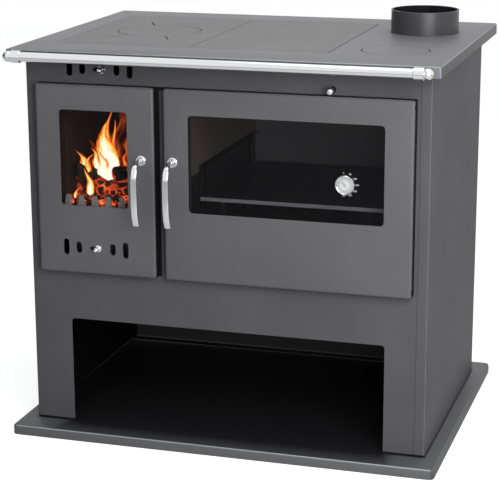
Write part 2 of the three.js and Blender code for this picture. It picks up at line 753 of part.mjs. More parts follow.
function makeHotPlates() {
  const stepHeight = worktopHeight - lidRimThickness - clearance;
  const rimHole = disc(lidRadius + plateGap, "z", stepHeight, worktopHeight + 1, lidX, lidY);
  const throat = disc(lidRadius - lidSeat, "z", hotPlateBottom - 1, worktopHeight, lidX, lidY);
  const slots = lidSlotAngles.map((angle) => {
    const slot = new THREE.BoxGeometry(lidSlotReach, lidSlotWidth, hotPlateThickness + 2);
    slot.translate(lidSlotReach / 2, 0, 0);
    slot.rotateZ(THREE.MathUtils.degToRad(angle));
    slot.translate(lidX, lidY, (hotPlateBottom + worktopHeight) / 2);
    return solid(slot);
  });
  const leftCuts = union([rimHole, throat, ...slots]);
  place("hot_plate_left", hotPlateBlank(leftPlate).subtract(leftCuts), castIron());
  place("hot_plate_right", hotPlateBlank(rightPlate), castIron());
  const rimBottom = stepHeight + clearance;
  const bossRadius = lidRadius - lidSeat - lidBossGap;
  const bossBottom = hotPlateBottom + lidBossGap;
  place("hot_plate_lid", steppedCover(lidRadius, rimBottom, bossRadius, bossBottom, lidX, lidY), castIron());
}

// A round cover whose rim sits on a ledge and whose boss hangs through it.
function steppedCover(radius, rimBottom, bossRadius, bossBottom, x, y) {
  const profile = [[0, bossBottom], [bossRadius, bossBottom], [bossRadius, rimBottom], [radius, rimBottom],
    [radius, worktopHeight - brokenEdge], [radius - brokenEdge, worktopHeight], [0, worktopHeight]];
  return turned(profile, "z", x, y);
}

function makeSootCover() {
  const rimBottom = worktopHeight - sootRimThickness;
  const bossBottom = rimBottom - sootBossDepth;
  const bossRadius = sootRadius - sootSeat - plateGap;
  const cover = steppedCover(sootRadius, rimBottom, bossRadius, bossBottom, sootX, sootY);
  place("soot_cover", cover, worktopPaint());
}

function makeFlueCollar() {
  const top = worktopHeight + flueHeight;
  const flangeTop = topUnderside - clearance;
  const flangeBottom = flangeTop - flueFlangeThickness;
  const bore = flueRadius - flueWall;
  const collar = tube(flueRadius, bore, "z", flangeBottom, top, flueX, flueY);
  const flange = tube(flueRadius + flueFlange, bore, "z", flangeBottom, flangeTop, flueX, flueY);
  place("flue_collar", collar.add(flange), worktopPaint());
}

// ---- Towel rail: a tube in two collars on studs, with a ball at each end ------------------------
function makeRail() {
  const y = topFront - railStandoff;
  const z = worktopHeight - railDrop;
  const left = -topWidth / 2 + railFromLeft;
  const right = topWidth / 2 - railFromRight;
  place("rail_tube", disc(railRadius, "x", left, right, y, z, knobSteps), chrome());
  for (const [name, end, outwards] of [["left", left, -1], ["right", right, 1]]) {
    const outside = end + outwards * (railCollarLength / 2);
    const inside = end - outwards * (railCollarLength / 2);
    const low = Math.min(outside, inside);
    const high = Math.max(outside, inside);
    const edge = railCollarEdge;
    const collar = turned([[0, low], [railCollarRadius - edge, low], [railCollarRadius, low + edge],
      [railCollarRadius, high - edge], [railCollarRadius - edge, high], [0, high]], "x", y, z, knobSteps);
    const stud = disc(railStudRadius, "y", y, topFront - clearance, end, z, smallSteps);
    const socketEnd = end + outwards * clearance;
    const mouth = inside - outwards;
    const bore = disc(railRadius + clearance, "x", Math.min(mouth, socketEnd), Math.max(mouth, socketEnd),
      y, z, knobSteps);
    place(`rail_bracket_${name}`, collar.add(stud).subtract(bore), chrome());
    const neckEnd = outside + outwards * clearance;
    const flat = Math.sqrt(railBallRadius ** 2 - railNeckRadius ** 2);
    const centre = neckEnd + outwards * (flat + railNeckLength);
    const ball = turned(ballProfile(railBallRadius, centre, railNeckRadius, neckEnd), "x", y, z, knobSteps);
    place(`rail_finial_${name}`, ball, chrome());
  }
}

// ---- Firebox: welded shell over an ash pit, bricks, grate and a toothed log guard ---------------
const chamberLeft = shellLeft + shellSheet + clearance;
const chamberRight = shellRight - shellSheet - clearance;
const chamberBack = shellBack - shellSheet - clearance;
const grateX = (shellLeft + shellRight) / 2;
const grateY = shellFront + shellDepth / 2;
const grateWidth = chamberRight - chamberLeft - 2 * (brickThickness + grateGap);

function makeFireboxShell() {
  const sheet = shellSheet;
  const outer = block(shellLeft, shellRight, shellFront, shellBack, shellBottom, shellTop);
  const chamber = block(shellLeft + sheet, shellRight - sheet, shellFront - 1, shellBack - sheet,
    fireFloorHeight + sheet, shellTop + 1);
  const pit = block(shellLeft + sheet, shellRight - sheet, shellFront - 1, shellBack - sheet,
    shellBottom + sheet, fireFloorHeight);
  const ashHole = block(grateX - grateWidth / 2 + ashHoleMargin, grateX + grateWidth / 2 - ashHoleMargin,
    grateY - grateDepth / 2 + ashHoleMargin, grateY + grateDepth / 2 - ashHoleMargin,
    fireFloorHeight - 1, fireFloorHeight + sheet + 1);
  const smokeGate = block(shellRight - sheet - 1, shellRight + 1, shellFront + smokeGateFront,
    shellBack - smokeGateBack, shellTop - hobChannel, shellTop + 1);
  place("firebox_shell", outer.subtract(union([chamber, pit, ashHole, smokeGate])), darkSteel());
}

function makeBricks() {
  const top = chamberBottom + brickHeight;
  const front = shellFront + brickSetback;
  const backFace = chamberBack - brickThickness;
  const sideBack = backFace - clearance;
  const cut = brickChamfer;
  const bricks = [
    ["left", chamberLeft, chamberLeft + brickThickness, front, sideBack],
    ["right", chamberRight - brickThickness, chamberRight, front, sideBack],
    ["back", chamberLeft, chamberRight, backFace, chamberBack],
  ];
  for (const [name, x0, x1, y0, y1] of bricks) {
    const outline = polygon([[x0 + cut, y0], [x1 - cut, y0], [x1, y0 + cut], [x1, y1 - cut], [x1 - cut, y1],
      [x0 + cut, y1], [x0, y1 - cut], [x0, y0 + cut]]);
    place(`firebrick_${name}`, prism(outline, "z", chamberBottom, top), firebrick());
  }
}

function makeGrate() {
  const top = chamberBottom + grateThickness;
  const frame = prism(roundedRect(grateX - grateWidth / 2, grateX + grateWidth / 2, grateY - grateDepth / 2,
    grateY + grateDepth / 2, grateCorner), "z", chamberBottom, top);
  const pitch = (grateWidth - 2 * grateRim + grateBarGap) / grateBars;
  const gaps = [];
  for (let index = 0; index < grateBars; index += 1) {
    const x = grateX - grateWidth / 2 + grateRim + pitch * index;
    gaps.push(block(x, x + grateBarGap, grateY - grateDepth / 2 + grateRim,
      grateY + grateDepth / 2 - grateRim, chamberBottom - 1, top + 1));
  }
  place("grate", frame.subtract(union(gaps)), castIron());
}

function makeLogGuard() {
  const x = (fireMouth.left + fireMouth.right) / 2;
  const front = shellFront;
  const guardSolidTop = fireFloorHeight + guardSolidHeight;
  const guardToothTop = guardSolidTop + guardToothHeight;
  const plate = block(fireMouth.left - guardOverlap, fireMouth.right + guardOverlap, front,
    front + guardThickness, chamberBottom, guardSolidTop);
  const teeth = [];
  for (let index = 0; index < guardTeeth; index += 1) {
    const centre = x + guardToothShift + (index - (guardTeeth - 1) / 2) * guardToothPitch;
    teeth.push(prism(polygon([[centre - guardToothBase / 2, guardSolidTop - 1],
      [centre + guardToothBase / 2, guardSolidTop - 1], [centre + guardToothTip / 2, guardToothTop],
      [centre - guardToothTip / 2, guardToothTop]]), "y", front, front + guardThickness));
  }
  place("log_guard", union([plate, ...teeth]), castIron());
}

function makeAshDrawer() {
  const left = fireMouth.left + drawerFromLeft;
  const right = fireMouth.right - drawerFromRight;
  const front = trayFront;
  const back = shellBack - shellSheet - drawerBackGap;
  const bottom = shellBottom + shellSheet + clearance;
  const top = bottom + drawerHeight;
  const sheet = drawerSheet;
  const box = block(left, right, front, back, bottom, top)
    .subtract(block(left + sheet, right - sheet, front + sheet, back - sheet, bottom + sheet, top + 1));
  const middle = (left + right) / 2;
  const pullZ = (bottom + top) / 2;
  const half = pullWidth / 2;
  const pullFront = front - pullDepth;
  const pullOutline = roundedRect(middle - half, middle + half, pullFront, front + sheet / 2, pullRim);
  const pull = prism(pullOutline, "z", pullZ - pullThickness / 2, pullZ + pullThickness / 2);
  const gripOutline = roundedRect(middle - half + pullRim, middle + half - pullRim, pullFront + pullRim,
    front, pullRim / 2);
  const grip = prism(gripOutline, "z", pullZ - pullThickness, pullZ + pullThickness);
  place("ash_drawer", box.add(pull.subtract(grip)), bareSteel());
}

// ---- Oven: a welded box with runners on its walls and a sliding shelf ---------------------------
function makeOven() {
  const sheet = ovenSheet;
  const box = block(ovenMouth.left - sheet, ovenMouth.right + sheet, shellFront, ovenBack,
    ovenMouth.bottom - sheet, ovenMouth.top + sheet);
  const cavity = block(ovenMouth.left, ovenMouth.right, shellFront - 1, ovenBack - sheet, ovenMouth.bottom,
    ovenMouth.top);
  place("oven_box", box.subtract(cavity), darkSteel());

  const front = shellFront + drawerSetback;
  const back = ovenBack - sheet - runnerBackGap;
  const lowest = shelfHeight - clearance - runnerPitch - runnerDepth;
  const highest = shelfHeight - clearance + (runnerLevels - 2) * runnerPitch;
  for (const [name, side] of [["left", -1], ["right", 1]]) {
    const wall = side < 0 ? ovenMouth.left + clearance : ovenMouth.right - clearance;
    const upright = wall - side * runnerSheet;
    const edge = wall - side * runnerWidth;
    const strip = (from, y0, y1, z0, z1) =>
      block(Math.min(wall, from), Math.max(wall, from), y0, y1, z0, z1);
    const pieces = [];
    for (let level = 0; level < runnerLevels; level += 1) {
      const top = shelfHeight - clearance + (level - 1) * runnerPitch;
      pieces.push(strip(upright, front, back, top - runnerDepth, top));
      pieces.push(strip(edge, front, back, top - runnerSheet, top));
    }
    for (const y of [front + rackUprightInset, back - rackUprightInset - rackUprightWidth]) {
      pieces.push(strip(upright, y, y + rackUprightWidth, lowest, highest));
    }
    place(`oven_rack_${name}`, union(pieces), darkSteel());
  }
}

function makeShelf() {
  const sideInset = clearance + runnerSheet + slideGap;
  const left = ovenMouth.left + sideInset;
  const right = ovenMouth.right - sideInset;
  const front = trayFront;
  const back = ovenBack - ovenSheet - shelfBackGap;
  const tray = block(left, right, front, back, shelfHeight, shelfHeight + shelfLip)
    .subtract(block(left + shelfSheet, right - shelfSheet, front + shelfSheet, back - shelfSheet,
      shelfHeight + shelfSheet, shelfHeight + shelfLip + 1));
  const slotPitch = (right - left - 2 * shelfSlotMargin) / (shelfSlotCount - 1);
  const slotBack = back - shelfSlotInset;
  const slots = [];
  for (let index = 0; index < shelfSlotCount; index += 1) {
    const x = left + shelfSlotMargin + index * slotPitch;
    slots.push(block(x - shelfSlotLength / 2, x + shelfSlotLength / 2, slotBack - shelfSlotWidth, slotBack,
      shelfHeight - 1, shelfHeight + shelfSheet + 1));
  }
  const tabs = [left + shelfTabInset, right - shelfTabInset].map((x) => block(x - shelfTabWidth / 2,
    x + shelfTabWidth / 2, front, front + shelfSheet, shelfHeight - shelfTabDrop, shelfHeight + 1));
  place("oven_shelf", union([tray.subtract(union(slots)), ...tabs]), bareSteel());
}

// ---- Smoke baffle round the flue, and the bypass damper on its rod ------------------------------
function makeDamper() {
  const sheet = baffleSheet;
  const bottom = ovenMouth.top + ovenSheet + clearance;
  const top = hobLedgeBottom - clearance;
  const front = flueY - flueRadius - baffleFromFlue;
  const left = damperX - damperPlateWidth / 2 - baffleFromDamper;
  const right = bodyRight - casingSheet - clearance;
  const back = bodyBack - 2 * casingSheet - 2 * clearance;
  const screen = polygon([[left, front], [right, front], [right, front + sheet],
    [left + sheet, front + sheet], [left + sheet, back], [left, back]]);
  const halfWidth = damperPlateWidth / 2;
  const halfHeight = damperPlateHeight / 2;
  const margin = damperWindowMargin;
  const gate = block(damperX - halfWidth + margin, damperX + halfWidth - margin, front - 1,
    front + sheet + 1, damperHeight - halfHeight + margin, damperHeight + halfHeight - margin);
  place("smoke_baffle", prism(screen, "z", bottom, top).subtract(gate), darkSteel());

  const plateBack = front - clearance;
  const plateFront = plateBack - damperPlateThickness;
  const plate = block(damperX - halfWidth, damperX + halfWidth, plateFront, plateBack,
    damperHeight - halfHeight, damperHeight + halfHeight);
  place("damper_plate", plate, castIron());
  const knobY = bodyFront - damperKnobStandoff;
  const rodFront = knobY + damperKnobRadius + clearance;
  const rodBack = plateFront - clearance;
  const rod = disc(damperRodRadius, "y", rodFront, rodBack, damperX, damperHeight, smallSteps);
  place("damper_rod", rod, bareSteel());
  place("damper_knob", turned(ballProfile(damperKnobRadius, knobY, damperRodRadius + 1,
    knobY + damperKnobRadius), "y", damperX, damperHeight, knobSteps), chrome());
}

// ---- Air slides: a slotted plate behind the matching slots, moved by a knob ----------------------
function slidePlate(slots, innerHeight, outerHeight, y0, y1) {
  const halfHeight = outerHeight / 2 + slideMargin / 2;
  const halfWidth = slotsHalfWidth + slideMargin;
  const plate = block(slots.x - halfWidth, slots.x + halfWidth + slideTravel, y0, y1, slots.z - halfHeight,
    slots.z + halfHeight);
  return plate.subtract(union(airSlots(slots.x, slots.z, innerHeight, outerHeight, y0 - 1, y1 + 1)));
}

function airKnob(slots, face, plateFace) {
  const washerBack = face - clearance;
  const washerFront = washerBack - airWasherThickness;
  const dish = washerFront + airWasherDish;
  const headBack = washerFront - airNeckLength;
  const headFront = headBack - airKnobLength;
  const stemBack = plateFace - clearance;
  const rim = airWasherRadius - airWasherRim;
  const edge = airKnobEdge;
  return turned([[0, headFront], [airKnobRadius - edge, headFront], [airKnobRadius, headFront + edge],
    [airKnobRadius, headBack - edge / 2], [airKnobRadius - edge / 2, headBack], [airStemRadius, headBack],
    [airStemRadius, dish], [rim, dish], [rim, washerFront], [airWasherRadius, washerFront],
    [airWasherRadius, washerBack], [airStemRadius, washerBack], [airStemRadius, stemBack], [0, stemBack]],
    "y", slots.x + airKnobOffset, slots.z, knobSteps);
}

function makeAirSlides() {
  const upperFace = panelInside + clearance;
  place("upper_air_slide", slidePlate(upperSlots, upperInnerSlotHeight, upperSlotHeight, upperFace,
    upperFace + slideSheet), darkSteel());
  place("upper_air_knob", airKnob(upperSlots, bodyFront, upperFace), chrome());
  place("lower_air_slide", slidePlate(lowerSlots, innerSlotHeight, outerSlotHeight, glassFront,
    glassFront + slideSheet), darkSteel());
  place("lower_air_knob", airKnob(lowerSlots, doorFront, glassFront), chrome());
}

// ---- Doors: a folded pan, an inner plate, the glass with its clips, a rope seal and the latch ---
const fireDoor = {
  name: "fire_door",
  left: fireDoorLeft,
  right: fireDoorRight,
  mouth: fireMouth,
  windowLeft: fireDoorLeft + fireWindowFromLeft,
  windowRight: fireDoorRight - fireWindowFromRight,
  hingeX: fireDoorLeft + hingeInset,
  hingeSide: -1,
  spindleX: fireDoorRight - fireSpindleInset,
};
const ovenDoor = {
  name: "oven_door",
  left: ovenDoorLeft,
  right: ovenDoorRight,
  mouth: ovenMouth,
  windowLeft: ovenDoorLeft + ovenWindowFromLeft,
  windowRight: ovenDoorRight - ovenWindowFromRight,
  hingeX: ovenDoorRight - hingeInset,
  hingeSide: 1,
  spindleX: ovenDoorLeft + ovenSpindleInset,
};
const lugLevels = [doorBottom + lugInset, doorTop - lugInset - lugThickness];
const thermometerX = ovenDoorRight - thermometerFromRight;
const thermometerZ = doorBottom + thermometerFromBottom;
const skirtBack = doorFront + doorSkirt;

function windowOf(door, margin) {
  return {
    left: door.windowLeft - margin,
    right: door.windowRight + margin,
    bottom: doorBottom + windowFromBottom - margin,
    top: doorTop - windowFromTop + margin,
  };
}

// The slots that let the fixed lugs into the door, on the hinge side.
function lugSlots(door, y0, y1) {
  const reach = lugHalfWidth + 1;
  const edge = door.hingeSide < 0 ? door.left - 1 : door.right + 1;
  const inner = door.hingeX - door.hingeSide * reach;
  return lugLevels.map((level) => block(Math.min(edge, inner), Math.max(edge, inner), y0, y1,
    level - lugSlotGap, level + lugThickness + lugSlotGap));
}

function makeDoorShell(door) {
  const pan = foldedFront(door.left, door.right, doorBottom, doorTop, doorCorner, doorFold, doorFront,
    skirtBack);
  const hollow = block(door.left + doorSheet, door.right - doorSheet, doorFront + doorSheet, skirtBack + 1,
    doorBottom + doorSheet, doorTop - doorSheet);
  const view = windowOf(door, 0);
  const y0 = doorFront - 1;
  const y1 = glassFront;
  const cuts = [
    prism(roundedRect(view.left, view.right, view.bottom, view.top, windowCorner), "y", y0, y1),
    disc(spindleHole, "y", y0, y1, door.spindleX, spindleZ, smallSteps),
    ...lugSlots(door, doorFront + doorSheet, skirtBack + 1),
  ];
  if (door === fireDoor) {
    cuts.push(...airSlots(lowerSlots.x, lowerSlots.z, innerSlotHeight, outerSlotHeight, y0, y1));
    cuts.push(knobSlot(lowerSlots.x + airKnobOffset, lowerSlots.z, y0, y1));
  }
  place(`${door.name}_shell`, pan.subtract(hollow).subtract(union(cuts)), doorPaint());
}

function catchPlace(door) {
  const side = -door.hingeSide;
  const near = door.spindleX + side * (latchReach + catchGap);
  const far = near + side * catchThickness;
  return { low: Math.min(near, far), high: Math.max(near, far) };
}

function makeDoorLiner(door) {
  const left = door.left + linerInset;
  const right = door.right - linerInset;
  const bottom = doorBottom + linerInset;
  const top = doorTop - linerInset;
  const rimFront = skirtBack + clearance;
  const box = block(left, right, rimFront, doorBack, bottom, top).subtract(block(left + linerSheet,
    right - linerSheet, rimFront - 1, linerFront, bottom + linerSheet, top - linerSheet));
  const view = windowOf(door, glassOverlap);
  const keeper = catchPlace(door);
  const keeperHalf = catchHeight / 2 + keeperGap;
  const y0 = linerFront - 1;
  const y1 = doorBack + 1;
  const cuts = [
    prism(roundedRect(view.left, view.right, view.bottom, view.top, windowCorner), "y", y0, y1),
    disc(spindleHole, "y", y0, y1, door.spindleX, spindleZ, smallSteps),
    block(keeper.low - keeperGap, keeper.high + keeperGap, y0, y1, spindleZ - keeperHalf,
      spindleZ + keeperHalf),
    ...lugSlots(door, rimFront - 1, y1),
  ];
  const guides = [];
  if (door === fireDoor) {
    const reach = slotsHalfWidth + slotWidth / 2;
    const side0 = lowerSlots.x - reach;
    const side1 = lowerSlots.x + reach;
    cuts.push(block(side0, side1, y0, y1, lowerSlots.z - outerSlotHeight / 2,
      lowerSlots.z + outerSlotHeight / 2));
    guides.push(...slideGuides(lowerSlots, outerSlotHeight, glassFront, glassFront, side0, side1));
    const edge = outerSlotHeight / 2 + slideMargin / 2 + clearance;
    for (const side of [-1, 1]) {
      const near = lowerSlots.z + side * edge;
      const far = near + side * guideFoot;
      guides.push(block(side0, side1, glassFront, linerFront + linerSheet / 2, Math.min(near, far),
        Math.max(near, far)));
    }
  }
  place(`${door.name}_liner`, union([box.subtract(union(cuts)), ...guides]), darkSteel());
}

function makeDoorGlass(door) {
  const pane = windowOf(door, glassOverlap);
  let glass = block(pane.left, pane.right, glassFront, glassBack, pane.bottom, pane.top);
  if (door === ovenDoor) {
    glass = glass.subtract(disc(thermometerStem + thermometerHoleGap, "y", glassFront - 1, glassBack + 1,
      thermometerX, thermometerZ, smallSteps));
  }
  place(`${door.name}_glass`, glass, glassPane());

  // A folded frame round the back of the glass, with its foot on the door.
  const back = glassBack + clearance + glassFrameSheet;
  const outer = windowOf(door, glassOverlap + clearance + glassFrameFoot);
  const foot = windowOf(door, glassOverlap + clearance);
  const inner = windowOf(door, glassOverlap - glassFrameReach);
  const frame = block(outer.left, outer.right, glassFront, back, outer.bottom, outer.top)
    .subtract(block(foot.left, foot.right, glassFront - 1, glassBack + clearance, foot.bottom, foot.top))
    .subtract(block(inner.left, inner.right, glassFront - 1, back + 1, inner.bottom, inner.top));
  const rebate = windowOf(door, glassOverlap + clearance + glassFrameSheet);
  const keep = block(rebate.left, rebate.right, glassFront - 1, back, rebate.bottom, rebate.top);
  const hollow = block(outer.left - 1, outer.right + 1, glassFront - 1, back - glassFrameSheet,
    outer.bottom - 1, outer.top + 1).subtract(keep);
  place(`${door.name}_glass_frame`, frame.subtract(hollow), bareSteel());
}

function makeDoorSeal(door) {
  const { left, right, bottom, top } = door.mouth;
  const inner = sealFromMouth;
  const outer = sealFromMouth + sealWidth;
  const y0 = doorBack + clearance;
  const y1 = bodyFront - clearance;
  const rim = roundedRect(left - outer, right + outer, bottom - outer, top + outer, sealOuterCorner);
  const hole = roundedRect(left - inner, right + inner, bottom - inner, top + inner, sealInnerCorner);
  const ring = prism(rim, "y", y0, y1).subtract(prism(hole, "y", y0 - 1, y1 + 1));
  place(`${door.name}_seal`, ring, ropeSeal());
}

function makeHingeRod(door) {
  const rod = disc(hingePinRadius, "z", doorBottom + doorSheet + clearance, doorTop - doorSheet - clearance,
    door.hingeX, hingeY, smallSteps);
  place(`${door.name}_hinge_rod`, rod, bareSteel());
}

// A strip behind the front panel whose two lugs reach through it into the door.
function makeHingeBracket(door) {
  const side = door.hingeSide;
  const stripEdge = door.hingeX + side * (lugHalfWidth - lugRoot);
  const stripFar = stripEdge + side * bracketWidth;
  const stripFront = panelInside + clearance;
  const pieces = [block(Math.min(stripEdge, stripFar), Math.max(stripEdge, stripFar), stripFront,
    stripFront + bracketSheet, lugLevels[0], lugLevels[1] + lugThickness)];
  for (const level of lugLevels) {
    const top = level + lugThickness;
    const outerX = door.hingeX + side * lugHalfWidth;
    pieces.push(disc(lugHalfWidth, "z", level, top, door.hingeX, hingeY, knobSteps));
    const arm = block(door.hingeX - lugHalfWidth, door.hingeX + lugHalfWidth, hingeY, panelInside, level,
      top);
    const root = block(Math.min(stripEdge, outerX), Math.max(stripEdge, outerX), bodyFront,
      stripFront + bracketSheet, level, top);
    pieces.push(arm, root);
  }
  const holes = lugLevels.map((level) => disc(hingeHoleRadius, "z", level - 1, level + lugThickness + 1,
    door.hingeX, hingeY, smallSteps));
  place(`${door.name}_hinge_bracket`, union(pieces).subtract(union(holes)), bareSteel());
}

function handleCurve(spindleX) {
  const start = doorFront - rosetteThickness - clearance;
  const foremost = doorFront - handleStandoff;
  return new THREE.CatmullRomCurve3([
    new THREE.Vector3(spindleX, start, spindleZ),
    new THREE.Vector3(spindleX, start - handleNeck, spindleZ),
    ...handleProfile.map(([back, down]) => new THREE.Vector3(spindleX, foremost + back, spindleZ - down)),
  ], false, "centripetal");
}

function makeHandle(door) {
  const section = new THREE.Shape();
  section.absellipse(0, 0, handleWidth / 2, handleThickness / 2, 0, Math.PI * 2, false);
  const lever = new THREE.ExtrudeGeometry(section, {
    steps: handleSteps,
    curveSegments: 6,
    bevelEnabled: false,
    extrudePath: handleCurve(door.spindleX),
  });
  place(`${door.name}_handle`, solid(lever), chrome());

  const rosetteBack = doorFront - clearance;
  const rosetteFront = doorFront - rosetteThickness;
  const rosette = turned([[spindleHole, rosetteFront], [rosetteRadius - rosetteSlope, rosetteFront],
    [rosetteRadius, rosetteBack - rosetteEdge], [rosetteRadius, rosetteBack], [spindleHole, rosetteBack],
    [spindleHole, rosetteFront]], "y", door.spindleX, spindleZ, rosetteSteps);
  place(`${door.name}_rosette`, rosette, chrome());

  const camBack = linerFront - latchInset;
  const camFront = camBack - latchThickness;
  const nose = door.spindleX - door.hingeSide * latchReach;
  const spindle = disc(spindleRadius, "y", rosetteFront, camBack, door.spindleX, spindleZ, smallSteps);
  const hub = disc(latchHubRadius, "y", camFront, camBack, door.spindleX, spindleZ, knobSteps);
  const tongue = block(Math.min(door.spindleX, nose), Math.max(door.spindleX, nose), camFront, camBack,
    spindleZ - latchHalfHeight, spindleZ + latchHalfHeight);
  place(`${door.name}_latch`, union([spindle, hub, tongue]), bareSteel());
}

// ---- Oven thermometer: a cup with a probe through the glass, and a needle -----------------------
function makeThermometer() {
  const cupBack = glassFront - clearance;
  const cupFront = cupBack - thermometerDepth;
  const dial = cupFront + thermometerDish;
  const nutFront = glassBack + clearance;
  const nutBack = nutFront + thermometerNutThickness;
  const probeEnd = glassBack + thermometerProbe;
  const dialRadius = thermometerRadius - thermometerRim;
  const probeRadius = thermometerStem - thermometerProbeStep;
  const edge = thermometerEdge;
  const profile = [[0, dial], [dialRadius, dial], [dialRadius, cupFront + edge],
    [dialRadius + edge, cupFront], [thermometerRadius - edge, cupFront], [thermometerRadius, cupFront + edge],
    [thermometerRadius, cupBack], [thermometerStem, cupBack], [thermometerStem, nutFront],
    [thermometerNut, nutFront], [thermometerNut, nutBack], [probeRadius, nutBack], [probeRadius, probeEnd],
    [0, probeEnd]];
  const body = turned(profile, "y", thermometerX, thermometerZ, thermometerSteps);
  place("thermometer_body", body, bareSteel());

  const angle = THREE.MathUtils.degToRad(needleRest);
  const half = needleWidth / 2;
  const tip = needleTip / 2;
  const outline = [[-needleTail, -half], [0, -needleWidth], [needleLength, -tip], [needleLength, tip],
    [0, needleWidth], [-needleTail, half]].map(([along, across]) =>
    [thermometerX + along * Math.cos(angle) - across * Math.sin(angle),
      thermometerZ + along * Math.sin(angle) + across * Math.cos(angle)]);
  const needleBack = dial - clearance;
  const needle = prism(polygon(outline), "y", needleBack - needleThickness, needleBack);
  place("thermometer_needle", needle, bareSteel());
}

makeBasePlate();
makeSidePanels();
makeFrontPanel();
makeBackPanel();
makeInnerFloor();
makeInnerStand();
makeWorktop();
makeHobSupport();
makeHotPlates();
makeSootCover();
makeFlueCollar();
makeRail();
makeFireboxShell();
makeBricks();
makeGrate();
makeLogGuard();
makeAshDrawer();
makeOven();
makeShelf();
makeDamper();
makeAirSlides();
for (const door of [fireDoor, ovenDoor]) {
  makeDoorShell(door);
  makeDoorLiner(door);
  makeDoorGlass(door);
  makeDoorSeal(door);
  makeHingeRod(door);
  makeHingeBracket(door);
  makeHandle(door);
}
makeThermometer();

export default stove;
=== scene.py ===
# %% [markdown]
# # A wood cookstove, dressed
# The solids of the stove are already drawn at their true sizes. This lesson gives them their looks:
# powder coat, cast iron, chrome, glass and a fire. Everything is in metres, with the front towards -Y
# and the floor at height 0.

# %% Load the solids
import json
import math
import random

import bmesh
import bpy
from mathutils import Matrix, Vector, noise


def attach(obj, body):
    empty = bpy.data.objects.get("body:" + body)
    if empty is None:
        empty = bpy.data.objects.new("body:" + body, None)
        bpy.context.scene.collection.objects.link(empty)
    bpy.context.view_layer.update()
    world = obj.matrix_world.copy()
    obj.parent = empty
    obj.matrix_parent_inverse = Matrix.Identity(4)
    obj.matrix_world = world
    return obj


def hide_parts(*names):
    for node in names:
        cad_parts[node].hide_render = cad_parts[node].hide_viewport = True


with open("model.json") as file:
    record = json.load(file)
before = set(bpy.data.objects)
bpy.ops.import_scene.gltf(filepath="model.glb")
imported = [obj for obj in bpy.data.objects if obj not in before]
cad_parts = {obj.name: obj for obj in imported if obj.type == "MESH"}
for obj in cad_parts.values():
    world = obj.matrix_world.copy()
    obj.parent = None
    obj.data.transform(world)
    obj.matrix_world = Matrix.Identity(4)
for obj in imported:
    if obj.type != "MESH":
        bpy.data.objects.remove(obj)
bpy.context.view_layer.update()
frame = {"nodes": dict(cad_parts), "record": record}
node_body = {node: body for body, nodes in frame["record"]["behaviour"]["bodies"].items() for node in nodes}

# %% [markdown]
# ## Where things are
# Paint and new pieces have to meet the solids. Their places could be typed in, but a typed place is
# wrong as soon as a solid changes, so it is read from the box round the solid that it belongs to.

# %% Boxes of the solids
def box_of(node):
    points = [vert.co for vert in frame["nodes"][node].data.vertices]
    return [Vector([pick(point[axis] for point in points) for axis in range(3)]) for pick in (min, max)]


def middle_of(node):
    low, high = box_of(node)
    return (low + high) / 2


casing_low, casing_high = box_of("side_panel_right")
casing_side, casing_front = casing_high.x, casing_low.y
base_low, base_high = box_of("base_plate")
top_low, top_high = box_of("top_plate")
fire_door_low, fire_door_high = box_of("fire_door_shell")
oven_door_low, oven_door_high = box_of("oven_door_shell")
print("casing's right side at", round(casing_side, 4), "and front at", round(casing_front, 4))

# %% [markdown]
# ## The camera
# The stove is seen from the right of its middle, from above the worktop, through a long lens. A long
# lens keeps the upright edges nearly parallel. A camera can be aimed by a tracking constraint, but here
# it is set by its own three axes, right, up and back, because it also leans a little to one side.

# %% Camera
camera_place = (1.0546, -3.5543, 1.3545)
yaw = math.radians(16.97)
pitch = math.radians(14.77)
roll = math.radians(0.21)
forward = Vector((-math.sin(yaw) * math.cos(pitch), math.cos(yaw) * math.cos(pitch), -math.sin(pitch)))
level_right = Vector((math.cos(yaw), math.sin(yaw), 0))
level_up = level_right.cross(forward)
right = level_right * math.cos(roll) - level_up * math.sin(roll)
up = level_up * math.cos(roll) + level_right * math.sin(roll)
camera = bpy.data.objects.new("camera", bpy.data.cameras.new("camera"))
camera.data.sensor_width = 36
camera.data.lens = 121.78
camera.data.clip_start = 0.1
camera.data.clip_end = 50
turn = Matrix((right, up, -forward)).transposed().to_4x4()
camera.matrix_world = Matrix.Translation(camera_place) @ turn
bpy.context.scene.collection.objects.link(camera)
bpy.context.scene.camera = camera
bpy.context.scene.view_settings.view_transform = "Standard"
print("camera at", [round(value, 3) for value in camera.location])

# %% [markdown]
# ## Nodes by the line
# A material is a tree of nodes. Written out, each node takes three or four lines, and the finish gets
# lost among them. These helpers add one node each, feed it numbers or the outputs of other nodes, and
# return its own output, so that a finish reads like a formula.

# %% Helpers for node trees
def clean_tree(owner, output_kind):
    owner.use_nodes = True
    owner.node_tree.nodes.clear()
    return owner.node_tree, owner.node_tree.nodes.new(output_kind)


def add_node(tree, kind, **values):
    node = tree.nodes.new(kind)
    for key, value in values.items():
        if hasattr(node, key):
            setattr(node, key, value)
        else:
            node.inputs[key.replace("_", " ")].default_value = value
    return node


# %% Helpers for formulas of nodes
def feed(tree, value, socket):
    if isinstance(value, bpy.types.NodeSocket):
        tree.links.new(value, socket)
    elif socket.type == "RGBA":
        socket.default_value = (*value, 1)
    else:
        socket.default_value = value


def feed_all(tree, node, values):
    for value, socket in zip(values, node.inputs):
        feed(tree, value, socket)
    return node


def maths(tree, operation, *values):
    return feed_all(tree, add_node(tree, "ShaderNodeMath", operation=operation), values).outputs[0]


def vector_maths(tree, operation, *values, out=0):
    return feed_all(tree, add_node(tree, "ShaderNodeVectorMath", operation=operation), values).outputs[out]


def mix_shaders(tree, share, first, second):
    return feed_all(tree, add_node(tree, "ShaderNodeMixShader"), (share, first, second)).outputs[0]


